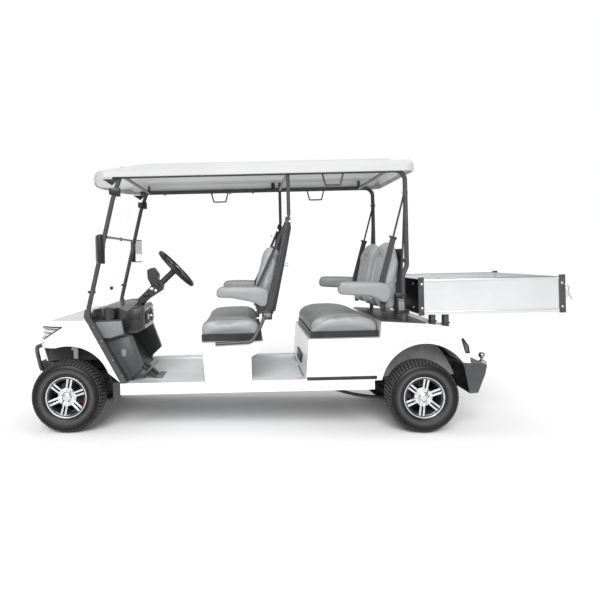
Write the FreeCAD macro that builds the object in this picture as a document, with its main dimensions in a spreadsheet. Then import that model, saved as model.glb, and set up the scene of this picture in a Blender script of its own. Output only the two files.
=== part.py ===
import FreeCAD, Part

import math
import os
import re

import Sketcher

# A four-seat electric golf cart with a roof, a folding windscreen and a cargo bed, in millimetres.
# +X points forward, +Y to the left, +Z up. Pieces are drawn from a datum on the ground
# below the front axle, and each is placed from there into the cart's frame, whose origin
# is the middle of the cart's footprint. The sprung body sits a little nose-down on its springs.

Vector = FreeCAD.Vector
Rotation = FreeCAD.Rotation
doc = FreeCAD.newDocument("golf_cart")
sheet = doc.addObject("Spreadsheet::Sheet", "Sizes")
nodes = {}


SIZES = {
    # Overall layout
    "cart_length": 3807, "front_overhang": 306, "wheelbase": 2462, "wheel_radius": 248,
    "rake_angle": 1.3, "body_half": 602, "wall": 6, "seat_gap": 0.3,
    # Chassis rails, which kick up over the rear axle, and their cross-members
    "rail_outer": 225, "rail_wide": 40, "rail_low": 215, "rail_high": 292, "rail_front": 150,
    "rail_rear_low": 395, "rail_rear_high": 465,
    "kick_run": 170, "kick_lag": 20, "member_deep": 40, "member_inset": 18,
    "outrigger_inset": 62, "outrigger_deep": 30,
    # Floor and sills
    "floor_top": 322, "floor_front": -426, "sill_low": 260, "sill_top": 338,
    "sill_front": -376, "flange_inset": 102, "sill_skin": 10,
    # Cowl
    "cowl_foot_x": -376, "cowl_foot_z": 345, "cowl_back_x": -135, "cowl_back_z": 800,
    "crown_x": -56, "hood_high": 809, "hood_front_x": 141, "hood_front_z": 763, "hood_arc": 700,
    "nose_arc": 240, "nose_reach": 265, "nose_low": 575, "nose_mid": 650, "arch_x": -20,
    "arch_z": 306, "arch_radius": 296, "cowl_edge_z": 597, "cowl_edge_x": -75,
    "nose_corner_x": 200, "nose_corner_y": 430, "cheek_x": 0, "cheek_arc": 260,
    "nose_plan_arc": 1450, "hood_side_z": 770, "hood_flat": 300, "hood_corner": 50,
    "well_in": 330, "lamp_in": 330, "apron_low": 458, "apron_half": 300,
    # Seat pod under the front bench
    "pod_top": 605, "pod_front": -941, "pod_front_foot": -961, "pod_back": -1362,
    "pod_back_foot": -1279, "pod_step_x": -1346, "pod_step_z": 547, "pod_knee_z": 500,
    "battery_inset": 112,
    # Rear body: the box under the rear bench, the deck and the fenders
    "box_top": 612,
    "deck_high": 722, "deck_mid_z": 700,
    "deck_rear_z": 671, "tail_top_z": 540, "tail_z": 425,
    "rear_arch_z": 257, "rear_arch_radius": 309,
    "tail_lamp_wide": 132, "flare_wide": 30, "flare_proud": 5,
    # Wheel-arch liners
    "liner_skin": 4, "liner_gap": 0.5, "rear_liner_low": 427, "splash_low": 464, "splash_front": 196,
    # Wheels, tyres and hubs
    "wheel_plane": 497, "tyre_section": 205, "rim_half": 89, "bead_radius": 127,
    "flange_radius": 141, "barrel_skin": 5, "barrel_radius": 118, "hub_radius": 62,
    "spoke_count": 6, "spoke_slot": 10, "spoke_wide": 13, "front_spoke_turn": 50,
    "rear_spoke_turn": 52, "disc_radius": 92, "disc_thick": 8, "disc_bore": 24, "drum_radius": 100,
    # Front end
    "kingpin_half": 390, "kingpin_radius": 12, "spindle_radius": 17, "spindle_long": 150,
    "axle_beam": 32, "arm_back": 120, "rod_radius": 9, "damper_top": 439.2,
    # Rear end
    "rear_tube": 38, "case_radius": 105, "motor_radius": 95, "motor_length": 240,
    # Roof, measured up from its lip's lower edge, and the tubes that carry it
    "roof_low": 1757, "lip_rise": 40, "shoulder_rise": 81, "panel_rise": 116, "crown_rise": 148,
    "roof_front": -100, "roof_corner_x": -296, "roof_skin": 8,
    "roof_over": 3, "panel_half": 400, "rail_lift": 6, "rail_tube": 16, "post_inset": 42,
    "mid_tube": 12.5, "mid_top_x": -1559, "handle_drop": 91,
    # Front struts and the folding screen between them
    "strut_tube": 16, "strut_top_x": -392, "strut_bow_x": -345, "bow_drop": 153,
    "strut_foot_x": -160, "strut_foot_z": 850, "pane": 5, "screen_inset": 30,
    "screen_low": 985, "screen_drop": 73, "fold_z": 1348,
    # Dash, steering column and steering wheel
    "dash_inset": 57, "dash_low": 640, "dash_foot": 666, "dash_high": 850, "dash_top_half": 430,
    "binnacle_in": 70, "cup_radius": 38, "cup_deep": 70, "cup_base": 768, "cup_out": 490,
    "shroud_half": 36,
    "wheel_x": -740, "wheel_y": 270, "wheel_z": 1113, "ring_radius": 165, "ring_tube": 13,
    "column_angle": 43, "column_radius": 22, "column_long": 450, "hub_deep": 32,
    # Benches
    "seat_inset": 30, "tray_top": 650, "seat_front": -924, "seat_back": -1350,
    "seat_crown": 773,
    "rear_tray_top": 652, "rear_seat_crown": 780, "back_low": 785, "rear_back_low": 800,
    "belt_inset": 19, "belt_thick": 2,
    # Bumpers and hitch
    "hoop_foot": 205, "hoop_half": 340, "tow_drop": 182, "tow_deep": 50, "tow_long": 410,
    # Cargo bed
    "bed_low": 760, "bed_top": 1003, "bed_half": 580,
    "panel_thick": 25, "bed_floor": 30, "post_top": 1018, "gate_inset": 31, "hinge_y": 380,
    "hinge_z": 757, "hinge_radius": 7, "hinge_pin": 4, "hinge_wide": 60, "deck_inset": 24,
}
# Stations of the rear body, measured from the rear axle
REAR = {
    "rail_kick": 382, "rail_rear": -238, "floor_back": 818, "sill_back": 342, "box_front": 787,
    "box_front_foot": 812, "deck_front": 285, "deck_mid_x": -27, "deck_rear_x": -219,
    "tail_top_x": -303, "tail_x": -319, "tail_low_x": -247, "rear_arch_x": -10,
    "rear_foot_x": 287, "roof_back": 26, "rear_post_x": 94, "rear_seat_front": 779,
    "rear_seat_back": 292, "bed_front": 9, "bed_rear": -984,
}
# Sizes that follow from others, so that whole groups of pieces move together
TIES = {
    "post_half": "body_half - post_inset", "seat_half": "post_half - seat_inset",
    "screen_half": "post_half - screen_inset", "dash_half": "body_half - dash_inset",
    "flange_in": "body_half - flange_inset",
    "outrigger_end": "body_half - outrigger_inset", "battery_half": "body_half - battery_inset",
    "roof_half": "body_half + roof_over", "gate_half": "bed_half - gate_inset",
    "roof_lip": "roof_low + lip_rise", "shoulder_z": "roof_low + shoulder_rise",
    "panel_z": "roof_low + panel_rise", "roof_crown": "roof_low + crown_rise",
    "rail_z": "roof_low + rail_lift", "handle_z": "rail_z - handle_drop",
    "strut_bow_z": "rail_z - bow_drop", "screen_high": "rail_z - screen_drop",
    "tow_z": "rail_rear_high - tow_drop",
}
known = [*SIZES, *REAR, *TIES]
cells = [*SIZES.items(), *((alias, f"={ahead} - wheelbase") for alias, ahead in REAR.items()),
         *((alias, "=" + formula) for alias, formula in TIES.items())]
for row, (alias, value) in enumerate(cells, 1):
    sheet.set(f"A{row}", str(value))
    sheet.setAlias(f"A{row}", alias)
sheet.recompute()


def bind(formula):
    """Turn a formula of size names into an expression that other objects can use."""
    return re.sub(r"[a-z][a-z_0-9]*", lambda word: "Sizes." + word.group(0)
                  if word.group(0) in known else word.group(0), str(formula))


def size(formula):
    """The present number of a formula of size names."""
    return float(sheet.evalExpression(str(formula)))


def spot(x, y, z):
    return Vector(size(x), size(y), size(z))


PLANES = {"side": "XZ_Plane", "plan": "XY_Plane", "front": "YZ_Plane"}


def new_sketch(body, plane, name):
    """A sketch on one of the body's own origin planes."""
    sketch = body.newObject("Sketcher::SketchObject", name)
    face = [part for part in body.Origin.OriginFeatures if part.Role == plane][0]
    sketch.AttachmentSupport = (face, "")
    sketch.MapMode = "FlatFace"
    return sketch


def pin_point(sketch, geometry, end, x, y):
    """Tie one point of a sketch to two formulas."""
    for way, formula in (("DistanceX", x), ("DistanceY", y)):
        k = sketch.addConstraint(Sketcher.Constraint(way, -1, 1, geometry, end, size(formula)))
        sketch.setExpression(f"Constraints[{k}]", bind(formula))


def arc_of(centre, start, end):
    """The arc about a centre between two points, turning the short way."""
    circle = Part.Circle(centre, Vector(0, 0, 1), (start - centre).Length)
    if (start - centre).cross(end - centre).z < 0:
        start, end = end, start
    first = math.atan2(start.y - centre.y, start.x - centre.x)
    last = math.atan2(end.y - centre.y, end.x - centre.x)
    return Part.ArcOfCircle(circle, first, last if last > first else last + 2 * math.pi)


def run_arc(start, end, radius):
    """The arc from one point to the next; a positive radius has its centre on the left."""
    across = Vector(start.y - end.y, end.x - start.x, 0).normalize()
    half = (end - start).Length / 2
    off = math.sqrt(max(radius * radius - half * half, 0))
    return arc_of((start + end) / 2 + across * math.copysign(off, radius), start, end)


def fill_outline(sketch, points):
    """Draw a closed outline. A point is (x, y), (x, y, "round", r) for a rounded corner,
    or (x, y, "arc", r) where the run to the next point is an arc."""
    count = len(points)
    corner = [Vector(size(p[0]), size(p[1]), 0) for p in points]
    rounds = {}
    for i, point in enumerate(points):
        if len(point) > 2 and point[2] == "round":
            before = (corner[i - 1] - corner[i]).normalize()
            after = (corner[(i + 1) % count] - corner[i]).normalize()
            half = before.getAngle(after) / 2
            radius = size(point[3])
            reach = radius / math.tan(half)
            centre = corner[i] + (before + after).normalize() * (radius / math.sin(half))
            rounds[i] = (corner[i] + before * reach, corner[i] + after * reach, centre)
    runs = []
    for i, point in enumerate(points):
        start = rounds[i][1] if i in rounds else corner[i]
        nxt = (i + 1) % count
        end = rounds[nxt][0] if nxt in rounds else corner[nxt]
        bowed = len(point) > 2 and point[2] == "arc"
        shape = run_arc(start, end, size(point[3])) if bowed else Part.LineSegment(start, end)
        runs.append(sketch.addGeometry(shape, False))

    def end_at(run, place):
        return 1 if (sketch.Geometry[run].StartPoint - place).Length < 1e-5 else 2

    for i, point in enumerate(points):
        before, after = runs[i - 1], runs[i]
        if i in rounds:
            start, end, centre = rounds[i]
            arc = sketch.addGeometry(arc_of(centre, start, end), False)
            pin = sketch.addGeometry(Part.Point(corner[i]), True)
            first = end_at(arc, start)
            for pair in ((before, end_at(before, start), arc, first),
                         (after, end_at(after, end), arc, 3 - first)):
                sketch.addConstraint(Sketcher.Constraint("Tangent", *pair))
            for run in (before, after):
                sketch.addConstraint(Sketcher.Constraint("PointOnObject", pin, 1, run))
            pin_point(sketch, pin, 1, point[0], point[1])
            bowed = arc
        else:
            a, b = end_at(before, corner[i]), end_at(after, corner[i])
            sketch.addConstraint(Sketcher.Constraint("Coincident", before, a, after, b))
            pin_point(sketch, after, b, point[0], point[1])
            bowed = after if len(point) > 2 else None
        if bowed is not None:
            k = sketch.addConstraint(Sketcher.Constraint("Radius", bowed, abs(size(point[3]))))
            sketch.setExpression(f"Constraints[{k}]", bind(f"abs({point[3]})"))


def slab(name, plane, points, low, high):
    """A solid of constant section between two offsets along the plane's own axis:
    side profiles run across Y, plans along Z, front profiles along X."""
    body = doc.addObject("PartDesign::Body", name)
    sketch = new_sketch(body, PLANES[plane], name + "_outline")
    sketch.setExpression("AttachmentOffset.Base.z", bind(f"-({high})" if plane == "side" else low))
    fill_outline(sketch, points)
    pad = body.newObject("PartDesign::Pad", name + "_pad")
    pad.Profile = sketch
    pad.setExpression("Length", bind(f"({high}) - ({low})"))
    return body


AXIS_TURNS = {"x": Rotation(), "y": Rotation(Vector(0, 0, 1), 90), "z": Rotation(Vector(0, 1, 0), -90)}


def turned(name, points, axis="y", at=("0", "0", "0"), turn=None):
    """A solid of revolution: points are (place along the axis, radius)."""
    body = doc.addObject("PartDesign::Body", name)
    sketch = new_sketch(body, "XY_Plane", name + "_outline")
    fill_outline(sketch, points)
    spin = body.newObject("PartDesign::Revolution", name + "_spin")
    spin.Profile = sketch
    spin.ReferenceAxis = (sketch, ["H_Axis"])
    spin.Angle = 360
    place(body, at, turn or AXIS_TURNS[axis])
    return body


def place(piece, at, turn=Rotation()):
    """Put a piece at a point given by formulas."""
    piece.Placement = FreeCAD.Placement(spot(*at), turn)
    for part, formula in zip("xyz", at):
        piece.setExpression(f"Placement.Base.{part}", bind(formula))
    return piece


def block(name, low, high):
    """A plain box between two corners."""
    box = doc.addObject("Part::Box", name)
    for side, part, a, b in zip(("Length", "Width", "Height"), "xyz", low, high):
        box.setExpression(side, bind(f"({b}) - ({a})"))
        box.setExpression(f"Placement.Base.{part}", bind(a))
    return box


ROD_TURNS = {"x": Rotation(Vector(0, 1, 0), 90), "y": Rotation(Vector(1, 0, 0), -90), "z": Rotation()}


def rod(name, start, radius, length, axis="y", turn=None):
    """A cylinder from a start point along an axis, or along a turned Z."""
    bar = doc.addObject("Part::Cylinder", name)
    bar.setExpression("Radius", bind(radius))
    bar.setExpression("Height", bind(length))
    return place(bar, start, turn or ROD_TURNS[axis])


def tube(name, route, radius, bend):
    """A round tube along straight runs joined by tangent bends."""
    points = [spot(*p) for p in route]
    edges, start = [], points[0]
    for before, here, after in zip(points, points[1:], points[2:]):
        back, on = (before - here).normalize(), (after - here).normalize()
        half = back.getAngle(on) / 2
        reach = size(bend) / math.tan(half)
        centre = here + (back + on).normalize() * (size(bend) / math.sin(half))
        first, last = here + back * reach, here + on * reach
        middle = centre + (here - centre).normalize() * size(bend)
        edges += [Part.makeLine(start, first), Part.Arc(first, middle, last).toShape()]
        start = last
    edges.append(Part.makeLine(start, points[-1]))
    ring = Part.Wire(Part.makeCircle(size(radius), points[0], points[1] - points[0]))
    feature = doc.addObject("Part::Feature", name)
    feature.Shape = Part.Wire(edges).makePipeShell([ring], True, True)
    return feature


def combine(kind, name, pieces):
    whole = doc.addObject(kind, name)
    whole.Shapes = list(pieces)
    return whole


def common(name, *pieces):
    return combine("Part::MultiCommon", name, pieces)


def fuse(name, *pieces):
    return combine("Part::MultiFuse", name, pieces)


def cut(name, base, *tools):
    """Take one or more tools out of a base, one after another."""
    for k, tool in enumerate(tools):
        less = doc.addObject("Part::Cut", name if k == len(tools) - 1 else f"{name}_{k}")
        less.Base, less.Tool = base, tool
        base = less
    return base


def mirrored(piece):
    """The same piece on the other side of the cart."""
    twin = doc.addObject("Part::Mirroring", piece.Name + "_right")
    twin.Source = piece
    twin.Normal = Vector(0, 1, 0)
    return twin


def both_sides(piece):
    return [piece, mirrored(piece)]


def node(label, pieces, where):
    """One exported node: its solids, put where they sit on the cart."""
    group = doc.addObject("Part::Compound", "node_" + label)
    group.Label = label
    group.Links = list(pieces)
    group.Placement = where
    nodes[label] = group


AXLE = Vector(size("cart_length / 2 - front_overhang"), 0, 0)
ON_GROUND = FreeCAD.Placement(AXLE, Rotation())
RAKE = FreeCAD.Placement(Vector(), Rotation(Vector(0, 1, 0), size("rake_angle")),
                         spot("0", "0", "wheel_radius"))
ON_BODY = ON_GROUND * RAKE

# Chassis frame
rail = slab("rail", "side", [
    ("rail_front", "rail_low"), ("rail_front", "rail_high"), ("rail_kick", "rail_high"),
    ("rail_kick - kick_run", "rail_rear_high"), ("rail_rear", "rail_rear_high"),
    ("rail_rear", "rail_rear_low"), ("rail_kick - kick_run - kick_lag", "rail_rear_low"),
    ("rail_kick - kick_lag", "rail_low")], "rail_outer - rail_wide", "rail_outer")
ties = []
for k, x in enumerate((60, -420, -1000, -1600, -2040)):
    ties.append(block(f"tie_{k}", (f"{x} - member_deep", "-rail_outer + 5", "rail_low + member_inset"),
                      (x, "rail_outer - 5", "rail_high - member_inset")))
for k, x in enumerate((-560, -1300, -1960)):
    ties.append(block(f"outrigger_{k}", (f"{x} - member_deep", "-outrigger_end",
        "rail_high - outrigger_deep"),
                      (x, "outrigger_end", "rail_high")))
ties.append(block("rear_tie", ("rail_rear", "-rail_outer", "rail_rear_low"),
                  ("rail_rear + member_deep", "rail_outer", "rail_rear_high")))
tower = slab("tower", "front", [
    ("rail_outer - 8", "rail_high - 20"), ("rail_outer", "rail_high - 20"), ("rail_outer", "damper_top"),
    ("325", "damper_top"), ("325", "damper_top + 8"), ("rail_outer - 8", "damper_top + 8")], "-35", "35")
node("frame", [fuse("frame_solid", rail, mirrored(rail), *ties, *both_sides(tower))], ON_BODY)

# Floor pan and side sills
node("floor_pan", [block("floor_plate", ("floor_back", "-body_half + sill_skin", "rail_high"),
                         ("floor_front", "body_half - sill_skin", "floor_top"))], ON_BODY)
sill = slab("sill", "front", [
    ("body_half", "sill_low"), ("body_half", "sill_top", "round", "8"), ("flange_in", "sill_top"),
    ("flange_in", "floor_top"), ("body_half - sill_skin", "floor_top"),
    ("body_half - sill_skin", "sill_low")], "sill_back", "sill_front")
node("side_sills", both_sides(sill), ON_BODY)
sill_pair = fuse("sill_pair", sill, mirrored(sill))


# Front cowl: hood, nose and wheel arches as one shell, open behind and below
def cowl_solid(name, skin):
    """The cowl's form, drawn in by a skin thickness, as a side view, a plan and a front view."""
    inner = skin != "0"
    low = "200" if inner else "cowl_foot_z"
    back = "cowl_foot_x - 60" if inner else "cowl_foot_x"
    side = [(back, low), (back, "cowl_foot_z")] if inner else [(back, low)]
    side += [(("cowl_back_x - 60" if inner else "cowl_back_x"), f"cowl_back_z - {skin}"),
             ("crown_x", f"hood_high - {skin}", "arc", "-hood_arc"),
             (f"hood_front_x - {skin}", f"hood_front_z - {skin}", "arc", "-nose_arc"),
             (f"nose_reach - {skin}", "nose_mid")]
    side += [("nose_reach - 8 - wall", low)] if inner else [
        ("nose_reach - 8", "nose_low"), ("cowl_edge_x", "cowl_edge_z")]
    half = f"body_half - {skin}"
    plan = [("-460", f"-({half})"), ("cheek_x", f"-({half})", "arc", f"cheek_arc - {skin}"),
            (f"nose_corner_x - {skin}", "-nose_corner_y", "arc", f"nose_plan_arc - {skin}"),
            (f"nose_corner_x - {skin}", "nose_corner_y", "arc", f"cheek_arc - {skin}"),
            ("cheek_x", half), ("-460", half)]
    front = [(f"-({half})", "190"), (f"-({half})", f"hood_side_z - {skin}", "round", "hood_corner"),
             ("-hood_flat", f"hood_high - {skin}"), ("hood_flat", f"hood_high - {skin}"),
             (half, f"hood_side_z - {skin}", "round", "hood_corner"), (half, "190")]
    return common(name, slab(name + "_side", "side", side, f"-({half})", half),
                  slab(name + "_plan", "plan", plan, "180", "900"),
                  slab(name + "_front", "front", front, "-460", "320"))


cowl_outer = cowl_solid("cowl_outer", "0")
cowl_inner = cowl_solid("cowl_inner", "wall")
arch_bore = rod("front_arch_bore", ("arch_x", "-body_half - 20", "arch_z"), "arch_radius",
                "body_half * 2 + 40")
lamp_zone = slab("lamp_zone", "side", [("18", "732"), ("150", "731"), ("300", "700"),
                                       ("300", "648"), ("172", "643")], "lamp_in", "body_half + 20")
lamp_zones = fuse("lamp_zones", lamp_zone, mirrored(lamp_zone))
apron = slab("apron", "side", [("nose_reach - 8", "nose_low + 10"), ("nose_reach - 44", "apron_low"),
                               ("nose_reach - 54", "apron_low"), ("nose_reach - 18", "nose_low + 10")],
             "-apron_half", "apron_half")
cowl_shell = cut("cowl_shell", cowl_outer, cowl_inner, arch_bore, lamp_zones)
node("front_cowl", [fuse("cowl_and_apron", cowl_shell, apron)], ON_BODY)
lamp_solid = cut("lamp_solid", common("lamp_blocks", cowl_outer, lamp_zones),
                 cowl_solid("lamp_inner", "24"))
node("headlamps", [lamp_solid], ON_BODY)

# Seat pod under the front bench
pod_outer = slab("pod_outer", "side", [
    ("pod_front_foot", "floor_top"), ("pod_front", "pod_top"), ("pod_back", "pod_top"),
    ("pod_step_x", "pod_step_z"), ("pod_back_foot", "pod_knee_z"), ("pod_back_foot", "floor_top")],
    "-body_half", "body_half")
pod_inner = slab("pod_inner", "side", [
    ("pod_front_foot - wall", "sill_low"), ("pod_front - wall", "pod_top - wall"),
    ("pod_back + wall", "pod_top - wall"), ("pod_step_x + wall", "pod_step_z + wall"),
    ("pod_back_foot + wall", "pod_knee_z + wall"), ("pod_back_foot + wall", "sill_low")],
    "-body_half + wall", "body_half - wall")
node("front_seat_pod", [cut("front_pod", pod_outer, pod_inner, sill_pair)], ON_BODY)

# Rear body
rear_outer = slab("rear_outer", "side", [
    ("box_front_foot", "floor_top"), ("box_front", "box_top"), ("deck_front + 12", "box_top"),
    ("deck_front", "deck_high"), ("deck_mid_x", "deck_mid_z"),
    ("deck_rear_x", "deck_rear_z", "round", "40"), ("tail_top_x", "tail_top_z"), ("tail_x", "tail_z"),
    ("tail_low_x", "tail_z + 4"), ("tail_low_x", "rear_arch_z"), ("rear_foot_x", "rear_arch_z"),
    ("rear_foot_x", "floor_top")], "-body_half", "body_half")
rear_inner = slab("rear_inner", "side", [
    ("box_front_foot - wall", "200"), ("box_front - wall", "box_top - wall"),
    ("deck_front + 12 - wall", "box_top - wall"), ("deck_front - wall", "deck_high - wall"),
    ("deck_mid_x", "deck_mid_z - wall"), ("deck_rear_x + 3", "deck_rear_z - wall", "round", "36"),
    ("tail_top_x + wall", "tail_top_z"), ("tail_x + wall", "tail_z"), ("tail_x + wall", "200")],
    "-body_half + wall", "body_half - wall")
rear_bore = rod("rear_arch_bore", ("rear_arch_x", "-body_half - 20", "rear_arch_z"),
                "rear_arch_radius", "body_half * 2 + 40")
tail_zone = slab("tail_zone", "side", [
    ("-263 - wheelbase", "590"), ("-438 - wheelbase", "590"), ("-438 - wheelbase", "498"),
    ("-288 - wheelbase", "498")], "body_half - tail_lamp_wide", "body_half + 20")
tail_zones = fuse("tail_zones", tail_zone, mirrored(tail_zone))
node("tail_lamps", [common("tail_lamp_solid", rear_outer, tail_zones)], ON_BODY)
rear_shell = cut("rear_shell", rear_outer, rear_inner, rear_bore, sill_pair, tail_zones)
flare_ring = turned("flare_ring", [
    ("body_half - 1", "rear_arch_radius"), ("body_half + flare_proud", "rear_arch_radius"),
    ("body_half + flare_proud", "rear_arch_radius + flare_wide - 6"),
    ("body_half - 1", "rear_arch_radius + flare_wide")], "y", ("rear_arch_x", "0", "rear_arch_z"))
flare_keep = slab("flare_keep", "side", [
    ("rear_arch_x", "sill_top"), ("rear_foot_x + 60", "sill_top"), ("rear_foot_x + 60", "640"),
    ("tail_x", "640"), ("tail_x", "tail_z + 6"), ("rear_arch_x", "tail_z + 6")], "0", "body_half + 20")
flare = common("flare", flare_ring, flare_keep)
node("rear_body", [fuse("rear_body_solid", rear_shell, flare, mirrored(flare))], ON_BODY)


# Arch liners: half-round wells behind each wheel
def liner(name, x, z, radius, low, back, front):
    out = "body_half - wall - liner_gap"
    ring = turned(name + "_ring", [
        ("well_in", f"{radius} + liner_gap"), (out, f"{radius} + liner_gap"),
        (out, f"{radius} + liner_gap + liner_skin"),
        ("well_in", f"{radius} + liner_gap + liner_skin")], "y", (x, "0", z))
    keep = slab(name + "_keep", "side", [(back, "900"), (back, low), (x, low), (x, f"{low} - 85"),
                                         (front, f"{low} - 85"), (front, "900")], "0", "body_half")
    return common(name, ring, keep)


front_liner = liner("front_liner", "arch_x", "arch_z", "arch_radius", "cowl_foot_z + 5", "-400",
                    "arch_x + 1")
rear_liner = liner("rear_liner", "rear_arch_x", "rear_arch_z", "rear_arch_radius", "rear_liner_low",
                   "-438 - wheelbase", "462 - wheelbase")
flap = slab("flap", "side", [("-326", "cowl_foot_z"), ("cowl_foot_x", "cowl_foot_z"),
                             ("cowl_foot_x", "255"), ("-345", "205"), ("-326", "250")],
            "flange_in", "body_half - seat_gap")
splash = slab("splash_wall", "side", [
    ("cowl_foot_x + 158", "splash_low"), ("splash_front", "splash_low"), ("splash_front", "nose_mid - 20"),
    ("cowl_foot_x + 158", "nose_mid - 20")], "well_in - liner_skin", "well_in")
valance = block("valance", ("splash_front - liner_skin", "liner_skin - well_in", "splash_low"),
                ("splash_front", "well_in - liner_skin", "nose_mid - 20"))
splash_tub = fuse("splash_tub", splash, mirrored(splash), valance)
step_trim = block("step_trim", ("rear_foot_x + 38", "body_half", "sill_top + seat_gap"),
                  ("box_front_foot - 6", "body_half + 4", "sill_top + 16"))
node("arch_liners", [splash_tub, *both_sides(front_liner), *both_sides(rear_liner), *both_sides(flap),
                     *both_sides(step_trim)], ON_BODY)


# Wheels: a tyre on a spoked rim; the profile's first number runs across the tyre
def tyre(name, x, side):
    half = "tyre_section / 2"
    shape = turned(name + "_casing", [
        ("-rim_half + seat_gap", "bead_radius"), ("-rim_half + seat_gap", "flange_radius + 2"),
        (f"-{half}", "flange_radius + 45", "round", "30"),
        (f"-{half} + 6", "wheel_radius - 10", "round", "24"), ("0", "wheel_radius"),
        (f"{half} - 6", "wheel_radius - 10", "round", "24"),
        (half, "flange_radius + 45", "round", "30"), ("rim_half - seat_gap", "flange_radius + 2"),
        ("rim_half - seat_gap", "bead_radius")], "y", (x, f"{side} * wheel_plane", "wheel_radius"))
    node(name, [shape], ON_GROUND)


def wheel_turned(name, piece, axis, angle):
    """A copy of a piece turned about an axis through its own frame's origin."""
    copy = doc.addObject("Part::Compound", name)
    copy.Links = [piece]
    copy.Placement = FreeCAD.Placement(Vector(), Rotation(axis, angle))
    return copy


def rim(name, x, side, front):
    """Barrel with flanges, a hub on the spindle, twin spokes and, in front, the brake disc."""
    barrel = turned(name + "_barrel", [
        ("-rim_half", "flange_radius - 1"), ("-rim_half - 6", "flange_radius - 1"),
        ("-rim_half - 6", "bead_radius - 8"), ("-rim_half + 30", "barrel_radius - barrel_skin"),
        ("rim_half - 20", "barrel_radius - barrel_skin"), ("rim_half + 6", "bead_radius - 4"),
        ("rim_half + 6", "flange_radius - 1"), ("rim_half", "flange_radius - 1"),
        ("rim_half", "bead_radius - seat_gap"), ("-rim_half", "bead_radius - seat_gap")])
    parts = [barrel]
    if front:
        parts.append(turned(name + "_hub", [
            ("-58", "disc_bore"), ("-58", "disc_radius"), ("disc_thick - 58", "disc_radius"),
            ("disc_thick - 58", "disc_bore + 8"), ("20", "disc_bore + 8"), ("28", "hub_radius"),
            ("62", "hub_radius - 8"), ("62", "0"), ("56", "0"), ("56", "spindle_radius + 0.05"),
            ("0", "spindle_radius + 0.05"), ("0", "disc_bore")]))
    else:
        parts.append(turned(name + "_hub", [
            ("-170", "0"), ("-170", "spindle_radius"), ("-96", "spindle_radius"), ("-96", "drum_radius"),
            ("-40", "drum_radius"), ("-30", "hub_radius - 20"), ("20", "hub_radius - 20"),
            ("28", "hub_radius"), ("62", "hub_radius - 8"), ("62", "0")]))
    low, high = ("40", "hub_radius - 12"), ("66", "bead_radius - 6")
    twin = fuse(name + "_twin_spoke", block(name + "_spoke_a", ("spoke_slot / 2", *low),
                                            ("spoke_slot / 2 + spoke_wide", *high)),
                block(name + "_spoke_b", ("-spoke_slot / 2 - spoke_wide", *low),
                    ("-spoke_slot / 2", *high)))
    first = size("front_spoke_turn" if front else "rear_spoke_turn")
    for k in range(int(size("spoke_count"))):
        parts.append(wheel_turned(f"{name}_spoke_{k}", twin, Vector(0, 1, 0),
                                  first + 360 * k / size("spoke_count")))
    solid = fuse(name + "_solid", *parts)
    solid.Placement = FreeCAD.Placement(spot(x, f"{side} * wheel_plane", "wheel_radius"),
                                        Rotation(Vector(0, 0, 1), 0 if side > 0 else 180))
    node(name, [solid], ON_GROUND)


for corner, x, side in (("front_left", "0", 1), ("front_right", "0", -1),
                        ("rear_left", "-wheelbase", 1), ("rear_right", "-wheelbase", -1)):
    tyre("tyre_" + corner, x, side)
    rim("rim_" + corner, x, side, x == "0")


# Roof: a moulded shell with a lip and a raised centre panel
def roof_solid(name, skin):
    """The roof's form lowered and drawn in by a skin thickness."""
    low = "roof_low - 20" if skin != "0" else "roof_low"
    back = f"roof_back + {skin}"
    side = [(f"roof_front + 10 - {skin}", low), (f"roof_front + 10 - {skin}", f"roof_lip - {skin}"),
            ("-235", f"shoulder_z - {skin}"), ("-430", f"shoulder_z + 12 - {skin}"),
            (f"-455 - {skin}", f"panel_z - {skin}", "arc", "14000"),
            ("172 - wheelbase", f"panel_z + 4 - {skin}"),
            ("132 - wheelbase", f"shoulder_z + 12 - {skin}"), ("62 - wheelbase", f"shoulder_z - {skin}"),
            (back, f"roof_lip - {skin}"), (back, low)]
    half = f"roof_half - {skin}"
    plan = [("roof_corner_x", f"-({half})", "arc", "330"), (f"-190 - {skin}", "-430", "arc", "2100"),
            (f"roof_front - {skin}", "0", "arc", "2100"), (f"-190 - {skin}", "430", "arc", "330"),
            ("roof_corner_x", half), ("roof_back + 80", half, "arc", f"80 - {skin}"),
            (back, "roof_half - 80"), (back, "80 - roof_half", "arc", f"80 - {skin}"),
            ("roof_back + 80", f"-({half})")]
    front = [(half, low), (half, f"roof_lip - {skin}"), ("roof_half - 45", f"shoulder_z - {skin}"),
             ("panel_half + 15", f"shoulder_z + 12 - {skin}"),
             ("panel_half", f"panel_z - {skin}", "arc", "3200"),
             ("0", f"roof_crown - {skin}", "arc", "3200"), ("-panel_half", f"panel_z - {skin}"),
             ("-panel_half - 15", f"shoulder_z + 12 - {skin}"),
             ("45 - roof_half", f"shoulder_z - {skin}"), (f"-({half})", f"roof_lip - {skin}"),
             (f"-({half})", low)]
    return common(name, slab(name + "_side", "side", side, f"-({half})", half),
                  slab(name + "_plan", "plan", plan, low, "roof_crown + 60"),
                  slab(name + "_front", "front", front, back, "roof_front + 10"))


roof_inner = roof_solid("roof_inner", "roof_skin")
roof = cut("roof_shell", roof_solid("roof_outer", "0"), roof_inner)
node("roof", [roof], ON_BODY)

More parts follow.
